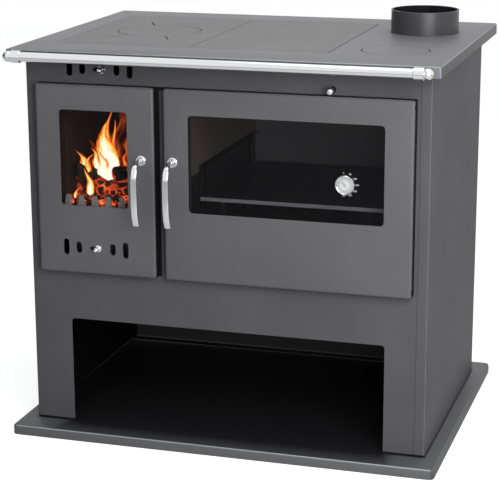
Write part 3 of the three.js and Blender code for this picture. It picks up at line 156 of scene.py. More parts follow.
def axes(tree, place):
    return feed_all(tree, add_node(tree, "ShaderNodeSeparateXYZ"), (place,)).outputs


# %% Helpers for colours and ranges
def mix_colour(tree, share, first, second):
    node = add_node(tree, "ShaderNodeMix", data_type="RGBA")
    for value, socket in ((share, 0), (first, 6), (second, 7)):
        feed(tree, value, node.inputs[socket])
    return node.outputs[2]


def span(tree, value, low, high, start=0, end=1, smooth=False):
    node = add_node(tree, "ShaderNodeMapRange", From_Min=start, From_Max=end, To_Min=low, To_Max=high)
    node.interpolation_type = "SMOOTHSTEP" if smooth else "LINEAR"
    feed(tree, value, node.inputs["Value"])
    return node.outputs["Result"]


def colour_ramp(tree, value, *stops):
    node = add_node(tree, "ShaderNodeValToRGB")
    elements = node.color_ramp.elements
    for element, (position, colour) in zip(elements, (stops[0], stops[-1])):
        element.position = position
        element.color = (*colour, 1)
    for position, colour in stops[1:-1]:
        elements.new(position).color = (*colour, 1)
    feed(tree, value, node.inputs["Fac"])
    return node.outputs["Color"]


# %% [markdown]
# ## Floor and light
# The stove stands on a plain white floor. One wide lamp overhead makes the worktop the brightest
# surface, a softer one in front fills the doors, and a weak one fills the right side. The floor and
# the room could simply be white, but then they would throw light up under the worktop. So only the
# rays of the camera, through glass and off bright metal find them bright. What is mirrored darkens at
# the far left, as in a room with a dark wall, because chrome that mirrors white alone looks like paint.

# %% Rays that see the white floor and surroundings
def looked_at(tree):
    path = add_node(tree, "ShaderNodeLightPath").outputs
    straight = maths(tree, "MAXIMUM", path["Is Camera Ray"], path["Is Transmission Ray"])
    return maths(tree, "MAXIMUM", straight, path["Is Glossy Ray"]), path["Is Glossy Ray"]


# %% Floor
def floor_paint():
    material = bpy.data.materials.new("floor_white")
    tree, output = clean_tree(material, "ShaderNodeOutputMaterial")
    seen, mirrored = looked_at(tree)
    paint, plain = [add_node(tree, "ShaderNodeBsdfDiffuse", Color=(grey, grey, grey, 1))
                    for grey in (0.5, 0.42)]
    bright, dim = [add_node(tree, "ShaderNodeEmission", Color=(1, 1, 1, 1), Strength=glow)
                   for glow in (0.8, 0.26)]
    glow = mix_shaders(tree, mirrored, bright.outputs[0], dim.outputs[0])
    white = feed_all(tree, add_node(tree, "ShaderNodeAddShader"), (paint.outputs[0], glow))
    feed(tree, mix_shaders(tree, seen, plain.outputs[0], white.outputs[0]), output.inputs[0])
    return material


def make_floor(half_width, depth):
    bm = bmesh.new()
    bmesh.ops.create_grid(bm, x_segments=1, y_segments=1, size=half_width)
    mesh = bpy.data.meshes.new("floor")
    bm.to_mesh(mesh)
    bm.free()
    mesh.materials.append(floor_paint())
    floor = bpy.data.objects.new("floor", mesh)
    bpy.context.scene.collection.objects.link(floor)
    floor.location.z = -depth
    return floor


print("floor:", make_floor(6, 0.0005).name)

# %% Surroundings
world = bpy.data.worlds.new("white_room")
bpy.context.scene.world = world
sky, sky_output = clean_tree(world, "ShaderNodeOutputWorld")
sky_seen, sky_mirrored = looked_at(sky)
soft_sky = add_node(sky, "ShaderNodeBackground", Color=(0.97, 0.98, 1, 1), Strength=0.38)
white_sky = add_node(sky, "ShaderNodeBackground", Color=(1, 1, 1, 1), Strength=1)
mirror_sky = add_node(sky, "ShaderNodeBackground", Strength=1)
sky_side = axes(sky, add_node(sky, "ShaderNodeTexCoord").outputs["Generated"])["X"]
dark_left = colour_ramp(sky, span(sky, sky_side, 0, 1, start=-1), (0.05, (0.05, 0.05, 0.055)),
                        (0.27, (1, 1, 1)))
feed(sky, dark_left, mirror_sky.inputs["Color"])
bright_sky = mix_shaders(sky, sky_mirrored, white_sky.outputs[0], mirror_sky.outputs[0])
feed(sky, mix_shaders(sky, sky_seen, soft_sky.outputs[0], bright_sky), sky_output.inputs[0])
print("surroundings:", world.name)


# %% Lamps
def add_lamp(name, place, aim, size, power, colour=(1, 1, 1)):
    lamp = bpy.data.lights.new(name, "AREA")
    lamp.shape = "RECTANGLE"
    lamp.size, lamp.size_y = size
    lamp.energy = power
    lamp.color = colour
    holder = bpy.data.objects.new(name, lamp)
    holder.location = place
    holder.rotation_euler = (Vector(aim) - Vector(place)).to_track_quat("-Z", "Y").to_euler()
    bpy.context.scene.collection.objects.link(holder)
    return holder


add_lamp("top_lamp", (0.5, 0.1, 3.0), (0.1, 0, 0.8), (2.4, 2.2), 27)
add_lamp("front_lamp", (1.1, -1.7, 1.15), (0.25, -0.3, 0.5), (1.2, 1.4), 34, (0.98, 0.98, 1))
add_lamp("side_lamp", (3.4, 0.4, 1.6), (0.4, 0, 0.5), (1.8, 1.8), 0.8, (0.97, 0.98, 1))
print("three lamps")

# %% [markdown]
# ## Powder coat
# The casing, the doors and the worktop are sheet steel with a matt grey powder coat. A powder coat has
# a fine orange-peel grain and slow changes of tone where it lies thicker. Both could be painted into a
# picture, but noise at the object's own coordinates has no seams. A large noise moves the colour a
# little, a small one moves the roughness, and a very fine one bumps the surface.

# %% Helpers for finishes
def new_material(name, **settings):
    material = bpy.data.materials.new(name)
    tree, output = clean_tree(material, "ShaderNodeOutputMaterial")
    shader = add_node(tree, "ShaderNodeBsdfPrincipled", **settings)
    feed(tree, shader.outputs[0], output.inputs[0])
    return material, tree, shader


def object_place(tree):
    return add_node(tree, "ShaderNodeTexCoord").outputs["Object"]


def texture(tree, kind, place, out="Fac", **settings):
    node = add_node(tree, "ShaderNodeTex" + kind, **settings)
    feed(tree, place, node.inputs["Vector"])
    return node.outputs[out]


def bumps(tree, height, strength, distance):
    node = add_node(tree, "ShaderNodeBump", Strength=strength, Distance=distance)
    feed(tree, height, node.inputs["Height"])
    return node.outputs["Normal"]


# %% Coated steel
def in_box(tree, place, low, high):
    within = [maths(tree, "COMPARE", value, (start + end) / 2, (end - start) / 2)
              for value, start, end in zip(axes(tree, place), low, high)]
    return maths(tree, "MULTIPLY", maths(tree, "MULTIPLY", within[0], within[1]), within[2])


def coat(name, dark, light, rough, grain=900, bump=0.05, patch=5, zones=(), specular=0.5, shade=None):
    material, tree, shader = new_material(name, Specular_IOR_Level=specular)
    place = object_place(tree)
    patches = texture(tree, "Noise", place, Scale=patch, Detail=4, Roughness=0.55)
    colour = colour_ramp(tree, patches, (0.3, dark), (0.72, light))
    for paint, low, high in zones:
        colour = mix_colour(tree, in_box(tree, place, low, high), colour, paint)
    if shade:
        colour = shade(tree, place, colour)
    speckle = texture(tree, "Noise", place, Scale=grain * 0.4, Detail=2, Roughness=0.5)
    peel = texture(tree, "Noise", place, Scale=grain, Detail=3, Roughness=0.6)
    feed(tree, colour, shader.inputs["Base Color"])
    feed(tree, span(tree, speckle, rough - 0.06, rough + 0.08), shader.inputs["Roughness"])
    feed(tree, bumps(tree, peel, bump, 0.0004), shader.inputs["Normal"])
    return material


# %% [markdown]
# ## Painted shade and painted highlights
# A coat isn't lit the same all over, and here light and shade are painted into it. The inside of the
# casing is painted black as shade, the door gaps and the foot of the casing get painted shadow lines,
# and the folded edges get painted highlights. Each of these is a thin box: where the coat passes
# through it, the box's paint takes over. That is simpler than cutting the sheet into faces of their own.
# A box reaches a little past the face that it paints.

# %% Casing
# Both blacks are painted shade: the first inside the casing and behind the door pans, the second for painted
# shadow lines in the gaps and at the foot of the casing.
black = (0.005, 0.005, 0.0052)
painted_shadow_black = (0.008, 0.008, 0.009)
past_face = 0.0005
sheet_inside = 0.0008  # how deep in the sheet the black inside starts
wide = 0.5  # more than half of the stove's width or depth
under_floor = -0.1
door_bottom, door_top = fire_door_low.z, fire_door_high.z - 0.0002


def both_sides(paint, low, high):
    return [(paint, low, high), (paint, (-high[0], *low[1:]), (-low[0], *high[1:]))]


def on_front(left, right, bottom, top):
    return painted_shadow_black, (left, casing_front - past_face, bottom), (right, casing_front + past_face, top)


# Painted shade: the inside faces of the casing, and the base inside it, are painted black.
casing_inside_shade = (black, (sheet_inside - casing_side, casing_front + sheet_inside, under_floor),
                 (casing_side - sheet_inside, casing_high.y - sheet_inside, top_high.z - 0.01))
# Painted shadows: dark lines on the front panel above the doors, between them and at their sides.
door_gap_shadows = [on_front(fire_door_low.x, oven_door_high.x, door_top - 0.0078, door_top),
             on_front(fire_door_high.x - 0.0075, fire_door_high.x + 0.005, door_bottom, door_top),
             on_front(oven_door_low.x - 0.0023, oven_door_low.x + 0.0035, door_bottom, door_top),
             on_front(oven_door_high.x - 0.0075, oven_door_high.x + 0.0002, door_bottom, door_top)]
# Painted highlight: a light line down the right front corner of the casing.
casing_corner_highlight = ((0.21, 0.208, 0.216), (casing_side - 0.0018, casing_front - 0.0006, casing_low.z + 0.0032),
                 (casing_side + 0.0003, casing_front + 0.0014, 0.82))
# Painted shadows: dark lines at the foot of the casing, along its front and both sides.
casing_foot_shadows = [(painted_shadow_black, (-wide, casing_front - 0.0006, 0),
                (wide, casing_front + 0.0015, casing_low.z + 0.0029)),
               *both_sides(painted_shadow_black, (casing_side - 0.0015, -wide, 0),
                           (casing_side + past_face, wide, casing_low.z + 0.0022))]
body_coat = coat("body_coat", (0.092, 0.090, 0.094), (0.108, 0.105, 0.110), 0.5,
                 zones=[casing_inside_shade, *door_gap_shadows, casing_corner_highlight, *casing_foot_shadows], specular=0.1)
print("casing:", body_coat.name, "with", len(door_gap_shadows) + len(casing_foot_shadows), "dark lines")

# %% Back of the casing, which shows through the wood store's arch
back_inner_face = box_of("back_panel")[0].y
# Painted shade: the inside face of the back panel is painted black.
back_inside_shade = (black, (-wide, -wide, under_floor), (wide, back_inner_face + past_face, 1))
# Painted light: through the arch the inside of the back is painted grey where light would reach it, with a
# lighter painted highlight line along its foot.
store_back_light_tones = [((0.055, 0.054, 0.056), 0.034, 0.25), ((0.11, 0.11, 0.112), 0.030, 0.034)]
store_back_painted_light = [(paint, (-0.42, back_inner_face - 0.0027, bottom), (0.42, back_inner_face + past_face, top))
              for paint, bottom, top in store_back_light_tones]
back_coat = coat("back_coat", (0.080, 0.078, 0.081), (0.096, 0.093, 0.097), 0.5,
                 zones=[back_inside_shade, *store_back_painted_light], specular=0.1)
print("back:", back_coat.name)


# %% Base plate, with painted shade inside the wood store
# Painted shade: the top of the base is painted near black inside the wood store, lightening towards its front
# lip. The sides beyond the arch and the faces below the top keep their coat.
def store_painted_shade(tree, place, colour):
    x, y, z = axes(tree, place)
    aside = span(tree, maths(tree, "ABSOLUTE", x), 0, 1, start=0.345, end=0.385, smooth=True)
    lip = span(tree, y, 0, 1, start=casing_front - 0.005, end=base_low.y - 0.001, smooth=True)
    rim = span(tree, z, 0, 1, start=base_high.z - 0.0001, end=base_high.z - 0.0006, smooth=True)
    unshaded = maths(tree, "MAXIMUM", aside, maths(tree, "MULTIPLY", lip, 0.5))
    return mix_colour(tree, maths(tree, "MAXIMUM", unshaded, rim), (0.008, 0.008, 0.009), colour)


post_inner_side = casing_side - 0.0885
foot_low, foot_high = base_high.z - 0.0005, base_high.z + past_face
# Painted light: the front face of the base is painted lighter than its top.
base_front_light = ((0.118, 0.118, 0.122), (-wide, base_low.y - past_face, under_floor),
              (wide, base_low.y + 0.0008, base_high.z - 0.0014))
# Painted highlight: a light line along the front top edge of the base.
base_edge_highlight = ((0.33, 0.34, 0.355), (base_low.x + 0.002, base_low.y - past_face, base_high.z - 0.0022),
             (base_high.x - 0.001, base_low.y + 0.003, foot_high))
# Painted shadows: dark lines on the base along the foot of the posts and of both side panels.
foot_shadow_lines = [*both_sides(painted_shadow_black, (post_inner_side, casing_front - 0.007, foot_low),
                          (casing_side + 0.004, casing_front + past_face, foot_high)),
              *both_sides(painted_shadow_black, (casing_side - past_face, casing_front + past_face, foot_low),
                          (casing_side + 0.0035, casing_high.y + 0.003, foot_high))]
base_coat = coat("base_coat", (0.073, 0.074, 0.079), (0.087, 0.088, 0.094), 0.46, specular=0.4,
                 zones=[casing_inside_shade, *foot_shadow_lines, base_front_light, base_edge_highlight], shade=store_painted_shade)
print("base:", base_coat.name)

# %% Doors
door_highlight = (0.175, 0.173, 0.181)
pan_front, pan_back = fire_door_low.y, fire_door_high.y
pan_bend = pan_front + 0.0018
pan_top = fire_door_high.z + past_face
# Painted shade: the back rim of each door pan is painted black.
door_back_shade = (black, (-wide, pan_back - past_face, 0.3), (wide, -0.3, 0.8))
door_sides = (fire_door_high.x, oven_door_high.x)
# Painted shade on the sides of the door pans, and painted highlights along their right and top edges.
door_edge_shade_and_highlights = [(painted_shadow_black, (side - 0.0002, pan_bend, door_bottom), (side + 0.0002, pan_back, pan_top))
              for side in door_sides]
door_edge_shade_and_highlights += [(door_highlight, (side - 0.0012, pan_front - past_face, door_bottom),
                (side + 0.0002, pan_bend, fire_door_high.z - 0.001)) for side in door_sides]
door_edge_shade_and_highlights.append((door_highlight, (-wide, pan_front - past_face, fire_door_high.z - 0.0011),
                   (wide, pan_back - past_face, pan_top)))
door_coat = coat("door_coat", (0.094, 0.092, 0.098), (0.112, 0.110, 0.117), 0.42,
                 zones=[door_back_shade, *door_edge_shade_and_highlights])
print("doors:", door_coat.name)

# %% Worktop
apron_front, apron_side, top_face = top_low.y - past_face, top_high.x + past_face, top_high.z + 0.0003
# Painted shade: the apron's front and right faces below the worktop are painted darker.
apron_shade = [((0.058, 0.061, 0.07), (-wide, apron_front, 0.8),
          (top_high.x - 0.018, top_low.y + 0.0008, top_high.z - 0.0022)),
         ((0.064, 0.063, 0.066), (top_high.x - 0.0008, -wide, 0.8),
          (top_high.x + 0.001, wide, top_high.z - 0.0018))]
# Painted highlights: light lines along the worktop's front and right top edges, lightest down its right front
# corner.
worktop_edge_highlights = [((0.27, 0.28, 0.30), (-wide, apron_front, top_high.z - 0.0023),
                  (top_high.x - 0.0015, top_low.y + 0.0025, top_face)),
                 ((0.22, 0.222, 0.23), (top_high.x - 0.0024, apron_front, top_high.z - 0.0019),
                  (apron_side, top_high.y - 0.002, top_face)),
                 ((0.34, 0.35, 0.37), (top_high.x - 0.003, apron_front, top_low.z),
                  (apron_side, top_low.y + 0.0025, top_face))]
# The worktop's coat is mixed lighter than the casing's: painted light, for the stronger light that falls on
# the top.
worktop_coat = coat("worktop_coat", (0.122, 0.121, 0.129), (0.146, 0.145, 0.155), 0.46, patch=4, specular=0.4,
                    zones=apron_shade + worktop_edge_highlights)
print("worktop:", worktop_coat.name)

# %% Flue collar, sooty inside
flue_middle = middle_of("flue_collar")
flue_points = [vert.co.xy for vert in frame["nodes"]["flue_collar"].data.vertices]
# A few points lie just inside the circle of the bore, so its radius is rounded to a tenth of a millimetre.
flue_bore = round(min((point - flue_middle.xy).length for point in flue_points), 4)


def sooty_bore(tree, place, colour):
    centred = vector_maths(tree, "SUBTRACT", place, (*flue_middle.xy, 0))
    reach = vector_maths(tree, "LENGTH", vector_maths(tree, "MULTIPLY", centred, (1, 1, 0)), out="Value")
    outside = span(tree, reach, 0, 1, start=flue_bore + 0.0002, end=flue_bore + 0.0008, smooth=True)
    return mix_colour(tree, outside, (0.012, 0.012, 0.014), colour)


flue_coat = coat("flue_coat", (0.036, 0.036, 0.04), (0.05, 0.05, 0.055), 0.34, patch=6, shade=sooty_bore)
print("flue:", flue_coat.name, "bore", round(flue_bore, 4))

# %% [markdown]
# ## Cast iron, blackened sheet and brick
# Hot plates are sand castings, a little coarser than the sheet round them. Sheet inside the stove has
# been blackened by heat, and the bricks carry soot over their clay. Each could have a material of its
# own, but coarse grain, stronger bumps and darker tones on the same coat tell them apart well enough.

# %% Cast iron and dark sheet
cast_coat = coat("cast_coat", (0.112, 0.110, 0.114), (0.137, 0.134, 0.139), 0.5, grain=500, bump=0.16,
                 patch=9)
# The log guard is mixed far lighter than cast iron: painted light, for the light that the dark glass keeps
# from it.
guard_painted_light_coat = coat("guard_iron", (0.3, 0.295, 0.29), (0.42, 0.415, 0.41), 0.6, grain=400, bump=0.3, patch=30)
black_sheet = coat("black_sheet", (0.005, 0.005, 0.005), (0.011, 0.0105, 0.010), 0.62, grain=300, bump=0.2,
                   patch=14, specular=0.2)
soot_iron = coat("soot_iron", (0.02, 0.018, 0.016), (0.05, 0.045, 0.04), 0.75, grain=260, bump=0.4, patch=22)
brick_clay = coat("sooted_brick", (0.010, 0.007, 0.005), (0.048, 0.024, 0.013), 0.9, grain=420, bump=0.3,
                  patch=12, specular=0.2)
print("cast:", cast_coat.name, black_sheet.name, soot_iron.name, brick_clay.name)

# %% [markdown]
# ## Chrome and bare steel
# The rail, the handles and the knobs are chromed, and the drawer and the rods are plain steel. A metal
# shows little but what it mirrors, so it needs no pattern of colours: a film of uneven roughness is
# enough, drawn out along X where the steel is brushed.

# %% Bright metals
def bright_metal(name, colour, rough, streak=0.0):
    material, tree, shader = new_material(name, Metallic=1.0, Base_Color=(*colour, 1))
    stretch = add_node(tree, "ShaderNodeMapping", Scale=(1 - streak, 1, 1))
    feed(tree, object_place(tree), stretch.inputs["Vector"])
    film = texture(tree, "Noise", stretch.outputs["Vector"], Scale=120, Detail=3, Roughness=0.6)
    feed(tree, span(tree, film, max(rough - 0.04, 0.02), rough + 0.06), shader.inputs["Roughness"])
    return material


chrome = bright_metal("chrome", (0.78, 0.78, 0.79), 0.09)
steel = bright_metal("brushed_steel", (0.5, 0.5, 0.51), 0.34, streak=0.96)
print("bright metals:", chrome.name, steel.name)

# %% [markdown]
# ## Oven enamel
# The oven and its shelf are black enamel. Lamps could light the oven, but hardly any light comes in
# through the dark glass. So the left wall, the back wall and the shelf's front lip, which catch it,
# are painted lighter with the same thin boxes as the casing.

# %% Oven and shelf
oven_box_low, oven_box_high = box_of("oven_box")
shelf_low, shelf_high = box_of("oven_shelf")
lit_top = oven_box_high.z + 0.002
lit_wall = ((0.30, 0.235, 0.20), (oven_box_low.x - past_face, -0.29, 0.59),
            (oven_box_low.x + 0.0035, 0.19, lit_top))
lit_back = ((0.32, 0.325, 0.335), (oven_box_low.x - past_face, 0.178, 0.528),
            (oven_box_high.x + 0.001, 0.19, lit_top))
shelf_lip = ((0.62, 0.63, 0.64), (-wide, shelf_low.y - past_face, shelf_high.z - 0.0085),
             (wide, shelf_low.y + 0.0025, shelf_high.z + 0.004))
oven_enamel = coat("oven_enamel", (0.016, 0.0155, 0.0155), (0.028, 0.027, 0.027), 0.4, grain=300, bump=0.1,
                   patch=14, zones=[lit_wall, lit_back])
shelf_enamel = coat("shelf_enamel", (0.016, 0.0155, 0.016), (0.026, 0.025, 0.026), 0.42, grain=500, bump=0.1,
                    zones=[shelf_lip])
print("oven enamels:", oven_enamel.name, shelf_enamel.name)

# %% [markdown]
# ## Rope seal
# A braided rope of glass fibre seals each door. Its strands could be modelled one by one, but the rope
# hardly shows, so a slanting wave gives it light and dark strands and dents between them.

# %% Braided rope
def rope_weave():
    material, tree, shader = new_material("rope_seal", Roughness=0.95)
    twist = texture(tree, "Wave", object_place(tree), Scale=90, Distortion=2.0, Detail=2,
                    bands_direction="DIAGONAL")
    tone = colour_ramp(tree, twist, (0, (0.015, 0.015, 0.014)), (1, (0.09, 0.088, 0.082)))
    feed(tree, tone, shader.inputs["Base Color"])
    feed(tree, bumps(tree, twist, 0.8, 0.001), shader.inputs["Normal"])
    return material


rope = rope_weave()
print("rope:", rope.name)

# %% [markdown]
# ## Glass
# The panes are heat-proof glass with a light film of smoke. True glass bends each ray twice and is slow
# to render clean. A flat pane hardly bends what is behind it, so a dark film that is partly clear looks
# the same and stays free of noise.

# %% Panes
def pane_glass(name, tint, opacity):
    material, tree, shader = new_material(name, Base_Color=(*tint, 1), Alpha=opacity, Specular_IOR_Level=0.12)
    haze = texture(tree, "Noise", object_place(tree), Scale=14, Detail=4, Roughness=0.6)
    feed(tree, span(tree, haze, 0.02, 0.07), shader.inputs["Roughness"])
    return material


fire_glass = pane_glass("fire_glass", (0.02, 0.02, 0.02), 0.16)
oven_glass = pane_glass("oven_glass", (0.009, 0.008, 0.009), 0.36)
print("glass:", fire_glass.name, oven_glass.name)

# %% [markdown]
# ## Which finish goes on which piece
# Each solid takes one finish. The names are the names that a fitter would call the pieces by.

# %% Dress the solids
finishes = {
    body_coat: ["side_panel_left", "side_panel_right", "front_panel"],
    back_coat: ["back_panel"],
    base_coat: ["base_plate"],
    door_coat: ["fire_door_shell", "oven_door_shell"],
    worktop_coat: ["top_plate", "soot_cover"],
    flue_coat: ["flue_collar"],
    cast_coat: ["hot_plate_left", "hot_plate_right", "hot_plate_lid"],
    guard_painted_light_coat: ["log_guard"],
    soot_iron: ["grate", "damper_plate"],
    chrome: ["rail_tube", "rail_bracket_left", "rail_bracket_right", "rail_finial_left", "rail_finial_right",
             "damper_knob", "upper_air_knob", "lower_air_knob", "fire_door_handle", "oven_door_handle",
             "fire_door_rosette", "oven_door_rosette", "thermometer_body"],
    black_sheet: ["inner_floor", "inner_stand", "hob_support", "firebox_shell", "oven_rack_left",
                  "oven_rack_right", "smoke_baffle", "upper_air_slide", "lower_air_slide", "fire_door_liner",
                  "oven_door_liner"],
    steel: ["ash_drawer", "damper_rod", "fire_door_hinge_rod", "oven_door_hinge_rod",
            "fire_door_hinge_bracket", "oven_door_hinge_bracket", "fire_door_latch", "oven_door_latch",
            "fire_door_glass_frame", "oven_door_glass_frame", "thermometer_needle"],
    shelf_enamel: ["oven_shelf"],
    oven_enamel: ["oven_box"],
    brick_clay: ["firebrick_left", "firebrick_right", "firebrick_back"],
    rope: ["fire_door_seal", "oven_door_seal"],
    fire_glass: ["fire_door_glass"],
    oven_glass: ["oven_door_glass"],
}
finish_of = {node: finish for finish, nodes in finishes.items() for node in nodes}
for node, finish in finish_of.items():
    solid = frame["nodes"][node]
    if not solid.material_slots:
        solid.data.materials.append(finish)
    for holder in solid.material_slots:
        holder.material = finish
print("dressed", len(finish_of), "of", len(frame["nodes"]), "solids")

# %% [markdown]
# ## Softened edges
# Folded sheet never has a knife edge. The edges could be rounded in the shading alone, but then the
# outline would stay sharp. So a copy of a solid is merged into flat faces, its smooth bends are told
# apart from its sharp edges, and a small bevel breaks the sharp ones, so that they catch light.

# %% Helpers for pieces
slot_of = {entry["node"]: entry["material_slot"] for entry in frame["record"]["subparts"]}


def keep_mesh(bm, name, *materials):
    mesh = bpy.data.meshes.new(name)
    bm.to_mesh(mesh)
    bm.free()
    for material in materials:
        mesh.materials.append(material)
    return mesh


def keep_piece(name, mesh, body, slot, *stands_for):
    piece = bpy.data.objects.new(name, mesh)
    bpy.context.scene.collection.objects.link(piece)
    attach(piece, body)
    if stands_for:
        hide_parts(*stands_for)
    return piece


def mark_sharp(bm, angle):
    for face in bm.faces:
        face.smooth = True
    for edge in bm.edges:
        edge.smooth = edge.is_manifold and edge.calc_face_angle(0) < math.radians(angle)


def break_edges(piece, width, segments, angle):
    bevel = piece.modifiers.new("broken_edge", "BEVEL")
    bevel.width = width
    bevel.segments = segments
    bevel.limit_method = "ANGLE"
    bevel.angle_limit = math.radians(angle)


def thicken(piece, thickness):
    wall = piece.modifiers.new("wall", "SOLIDIFY")
    wall.thickness = thickness


# %% Soften the sheet metal
bend_angle = 36  # degrees: a sharper edge than this is no bend


def soften(node, width=0.0005, segments=2):
    bm = bmesh.new()
    bm.from_mesh(frame["nodes"][node].data)
    bmesh.ops.remove_doubles(bm, verts=bm.verts, dist=1e-5)
    bmesh.ops.dissolve_limit(bm, angle_limit=math.radians(0.5), verts=bm.verts, edges=bm.edges)
    mark_sharp(bm, bend_angle)
    mesh = keep_mesh(bm, node + "_soft", finish_of[node])
    piece = keep_piece(node + "_skin", mesh, node_body[node], slot_of[node], node)
    if width:
        break_edges(piece, width, segments, bend_angle)
    return piece


skins = [soften(node, width=0.0016, segments=3) for node in ("base_plate", "top_plate")]
skins += [soften(node) for node in ("front_panel", "side_panel_left", "side_panel_right", "fire_door_shell",
                                    "oven_door_shell", "hot_plate_left", "hot_plate_right", "log_guard",
                                    "hot_plate_lid", "soot_cover", "oven_shelf")]
skins += [soften(node, width=0) for node in ("flue_collar", "rail_tube", "rail_bracket_left",
                                             "rail_bracket_right", "rail_finial_left", "rail_finial_right",
                                             "thermometer_body")]
print("softened pieces:", len(skins))

# %% [markdown]
# ## Door handles
# Each handle is a flat chromed bar that leaves its rosette as a round neck, bends down and ends a little
# nearer the door. A curve with a bevel gives a pipe, which can't change from round to flat. So a round
# bar with equal ends is cut into rings, each ring is moved to its place on a smooth path, and its circle
# is flattened into a rounded bar. Sizes here are in millimetres.

# %% Path of the bar, each point by its Y and its height
grip_path = [(-319.4, 624), (-333, 624.6), (-345, 622.6), (-354.5, 616.5), (-360, 606), (-361.8, 592),
             (-362, 570), (-361.8, 546), (-360.6, 526), (-357, 509), (-350.5, 492.5)]


def along(points, share):
    run = share * (len(points) - 1)
    index = min(int(run), len(points) - 2)
    part = run - index
    corners = [Vector(points[min(max(index + step, 0), len(points) - 1)]) for step in (-1, 0, 1, 2)]
    before, start, end, after = corners
    return 0.5 * (2 * start + (end - before) * part + (2 * before - 5 * start + 4 * end - after) * part ** 2
                  + (3 * start - before - 3 * end + after) * part ** 3)


print("path of the grip:", len(grip_path), "points")

# %% Bar handles
neck_width = 8
bar_width, bar_thickness = 13.6, 6.4
neck_share, flattening_share = 0.12, 0.25  # of the path, before the bar is flat
squareness = 0.42


def flatten_round(value, power):
    return math.copysign(abs(value) ** power, value)


def bar_handle(name, stands_for):
    x_middle = middle_of(stands_for).x * 1000
    bm = bmesh.new()
    bmesh.ops.create_cone(bm, cap_ends=True, segments=28, radius1=1, radius2=1, depth=2)
    long_edges = [edge for edge in bm.edges if abs(edge.verts[0].co.z - edge.verts[1].co.z) > 1]
    bmesh.ops.subdivide_edges(bm, edges=long_edges, cuts=60)
    for vert in bm.verts:
        share = (vert.co.z + 1) / 2
        spot = along(grip_path, share)
        ahead = along(grip_path, min(share + 0.01, 1)) - along(grip_path, max(share - 0.01, 0))
        ahead.normalize()
        flat = min(max((share - neck_share) / flattening_share, 0), 1)
        power = 1 - squareness * flat
        across = (neck_width + (bar_width - neck_width) * flat) / 2 * flatten_round(vert.co.x, power)
        out = (neck_width + (bar_thickness - neck_width) * flat) / 2 * flatten_round(vert.co.y, power)
        vert.co = Vector((x_middle + across, spot.x - ahead.y * out, spot.y + ahead.x * out)) / 1000
    bmesh.ops.recalc_face_normals(bm, faces=bm.faces)
    mark_sharp(bm, 50)
    mesh = keep_mesh(bm, name, chrome)
    piece = keep_piece(name, mesh, node_body[stands_for], slot_of[stands_for], stands_for)
    break_edges(piece, 0.0008, 3, 50)
    return piece


handles = [bar_handle("fire_handle_bar", "fire_door_handle"),
           bar_handle("oven_handle_bar", "oven_door_handle")]
print("handles:", [handle.name for handle in handles])

# %% [markdown]
# ## Turned parts
# Rosettes and knobs are turned on a lathe. Spheres and discs could be stacked up, but they would cut
# into each other. So half of the outline is drawn as a chain of points, each a radius and a distance
# out from the panel in millimetres, and spun once round its axis. The place of the axis is read from
# the solid that the turned part stands for.

# %% Lathe
def ball(radius, out, start, end, steps=9):
    angles = [math.radians(start + (end - start) * step / steps) for step in range(steps + 1)]
    return [(radius * math.cos(angle), out + radius * math.sin(angle)) for angle in angles]


def turned(name, stands_for, outline, sunk=0.0):
    axis = middle_of(stands_for)
    axis.y = box_of(stands_for)[1].y + sunk / 1000
    bm = bmesh.new()
    chain = [bm.verts.new(axis + Vector((radius, -out, 0)) / 1000) for radius, out in outline]
    edges = [bm.edges.new(pair) for pair in zip(chain, chain[1:])]
    bmesh.ops.spin(bm, geom=chain + edges, cent=axis, axis=(0, 1, 0), angle=math.radians(360), steps=36,
                   use_merge=True)
    bmesh.ops.remove_doubles(bm, verts=bm.verts, dist=1e-6)
    bmesh.ops.recalc_face_normals(bm, faces=bm.faces)
    mark_sharp(bm, 40)
    mesh = keep_mesh(bm, name, chrome)
    return keep_piece(name, mesh, node_body[stands_for], slot_of[stands_for], stands_for)


# %% Rosettes and knobs
rosette = [(0, 0.2), (11.4, 0.2), (11.8, 1.4), (11.2, 3.0), (10.2, 3.9), (9.0, 4.0), (8.0, 3.2), (7.2, 1.9),
           (6.4, 1.7), (5.8, 2.6), (5.2, 3.6), (0, 3.8)]
washer = [(0, 0.2), (8.6, 0.2), (8.9, 0.8), (8.8, 2.4), (8.2, 3.0), (7.4, 2.9), (6.9, 2.0), (6.6, 0.9),
          (2.5, 0.9), (2.5, 6.5)]
flange = [(0, 0.2), (8.4, 0.2), (8.9, 1.2), (8.2, 2.6), (6.2, 3.6), (2.6, 4.0), (2.6, 8.0)]
turned_parts = [
    turned("fire_rosette", "fire_door_rosette", rosette, sunk=0.1),
    turned("oven_rosette", "oven_door_rosette", rosette, sunk=0.1),
    turned("upper_air_pull", "upper_air_knob", washer + ball(6.4, 12.4, -62, 58) + [(2.6, 18.6), (0, 18.7)]),
    turned("lower_air_pull", "lower_air_knob",
           flange + ball(5.7, 13.4, -60, 50) + [(2.4, 18.2), (1.8, 17.4), (0, 17.2)]),
    turned("damper_ball", "damper_knob",
           [(0, 0.2), (3.2, 0.2)] + ball(8.8, 9.0, -66, 70) + [(1.6, 17.6), (0, 17.7)]),
]
print("turned parts:", len(turned_parts))

# %% [markdown]
# ## Soot in the flue
# The outlet is coated outside only. Inside it a thin crust of soot has settled. Paint alone would follow
# the bore's facets, so the crust is a finer tube without ends, given its thickness by a Solidify
# modifier.

# %% Soot crust
flue_crust = coat("flue_crust", (0.008, 0.008, 0.009), (0.02, 0.02, 0.022), 0.95, grain=400, bump=0.4,
                  patch=20, specular=0.05)
crust_wall = 0.0004


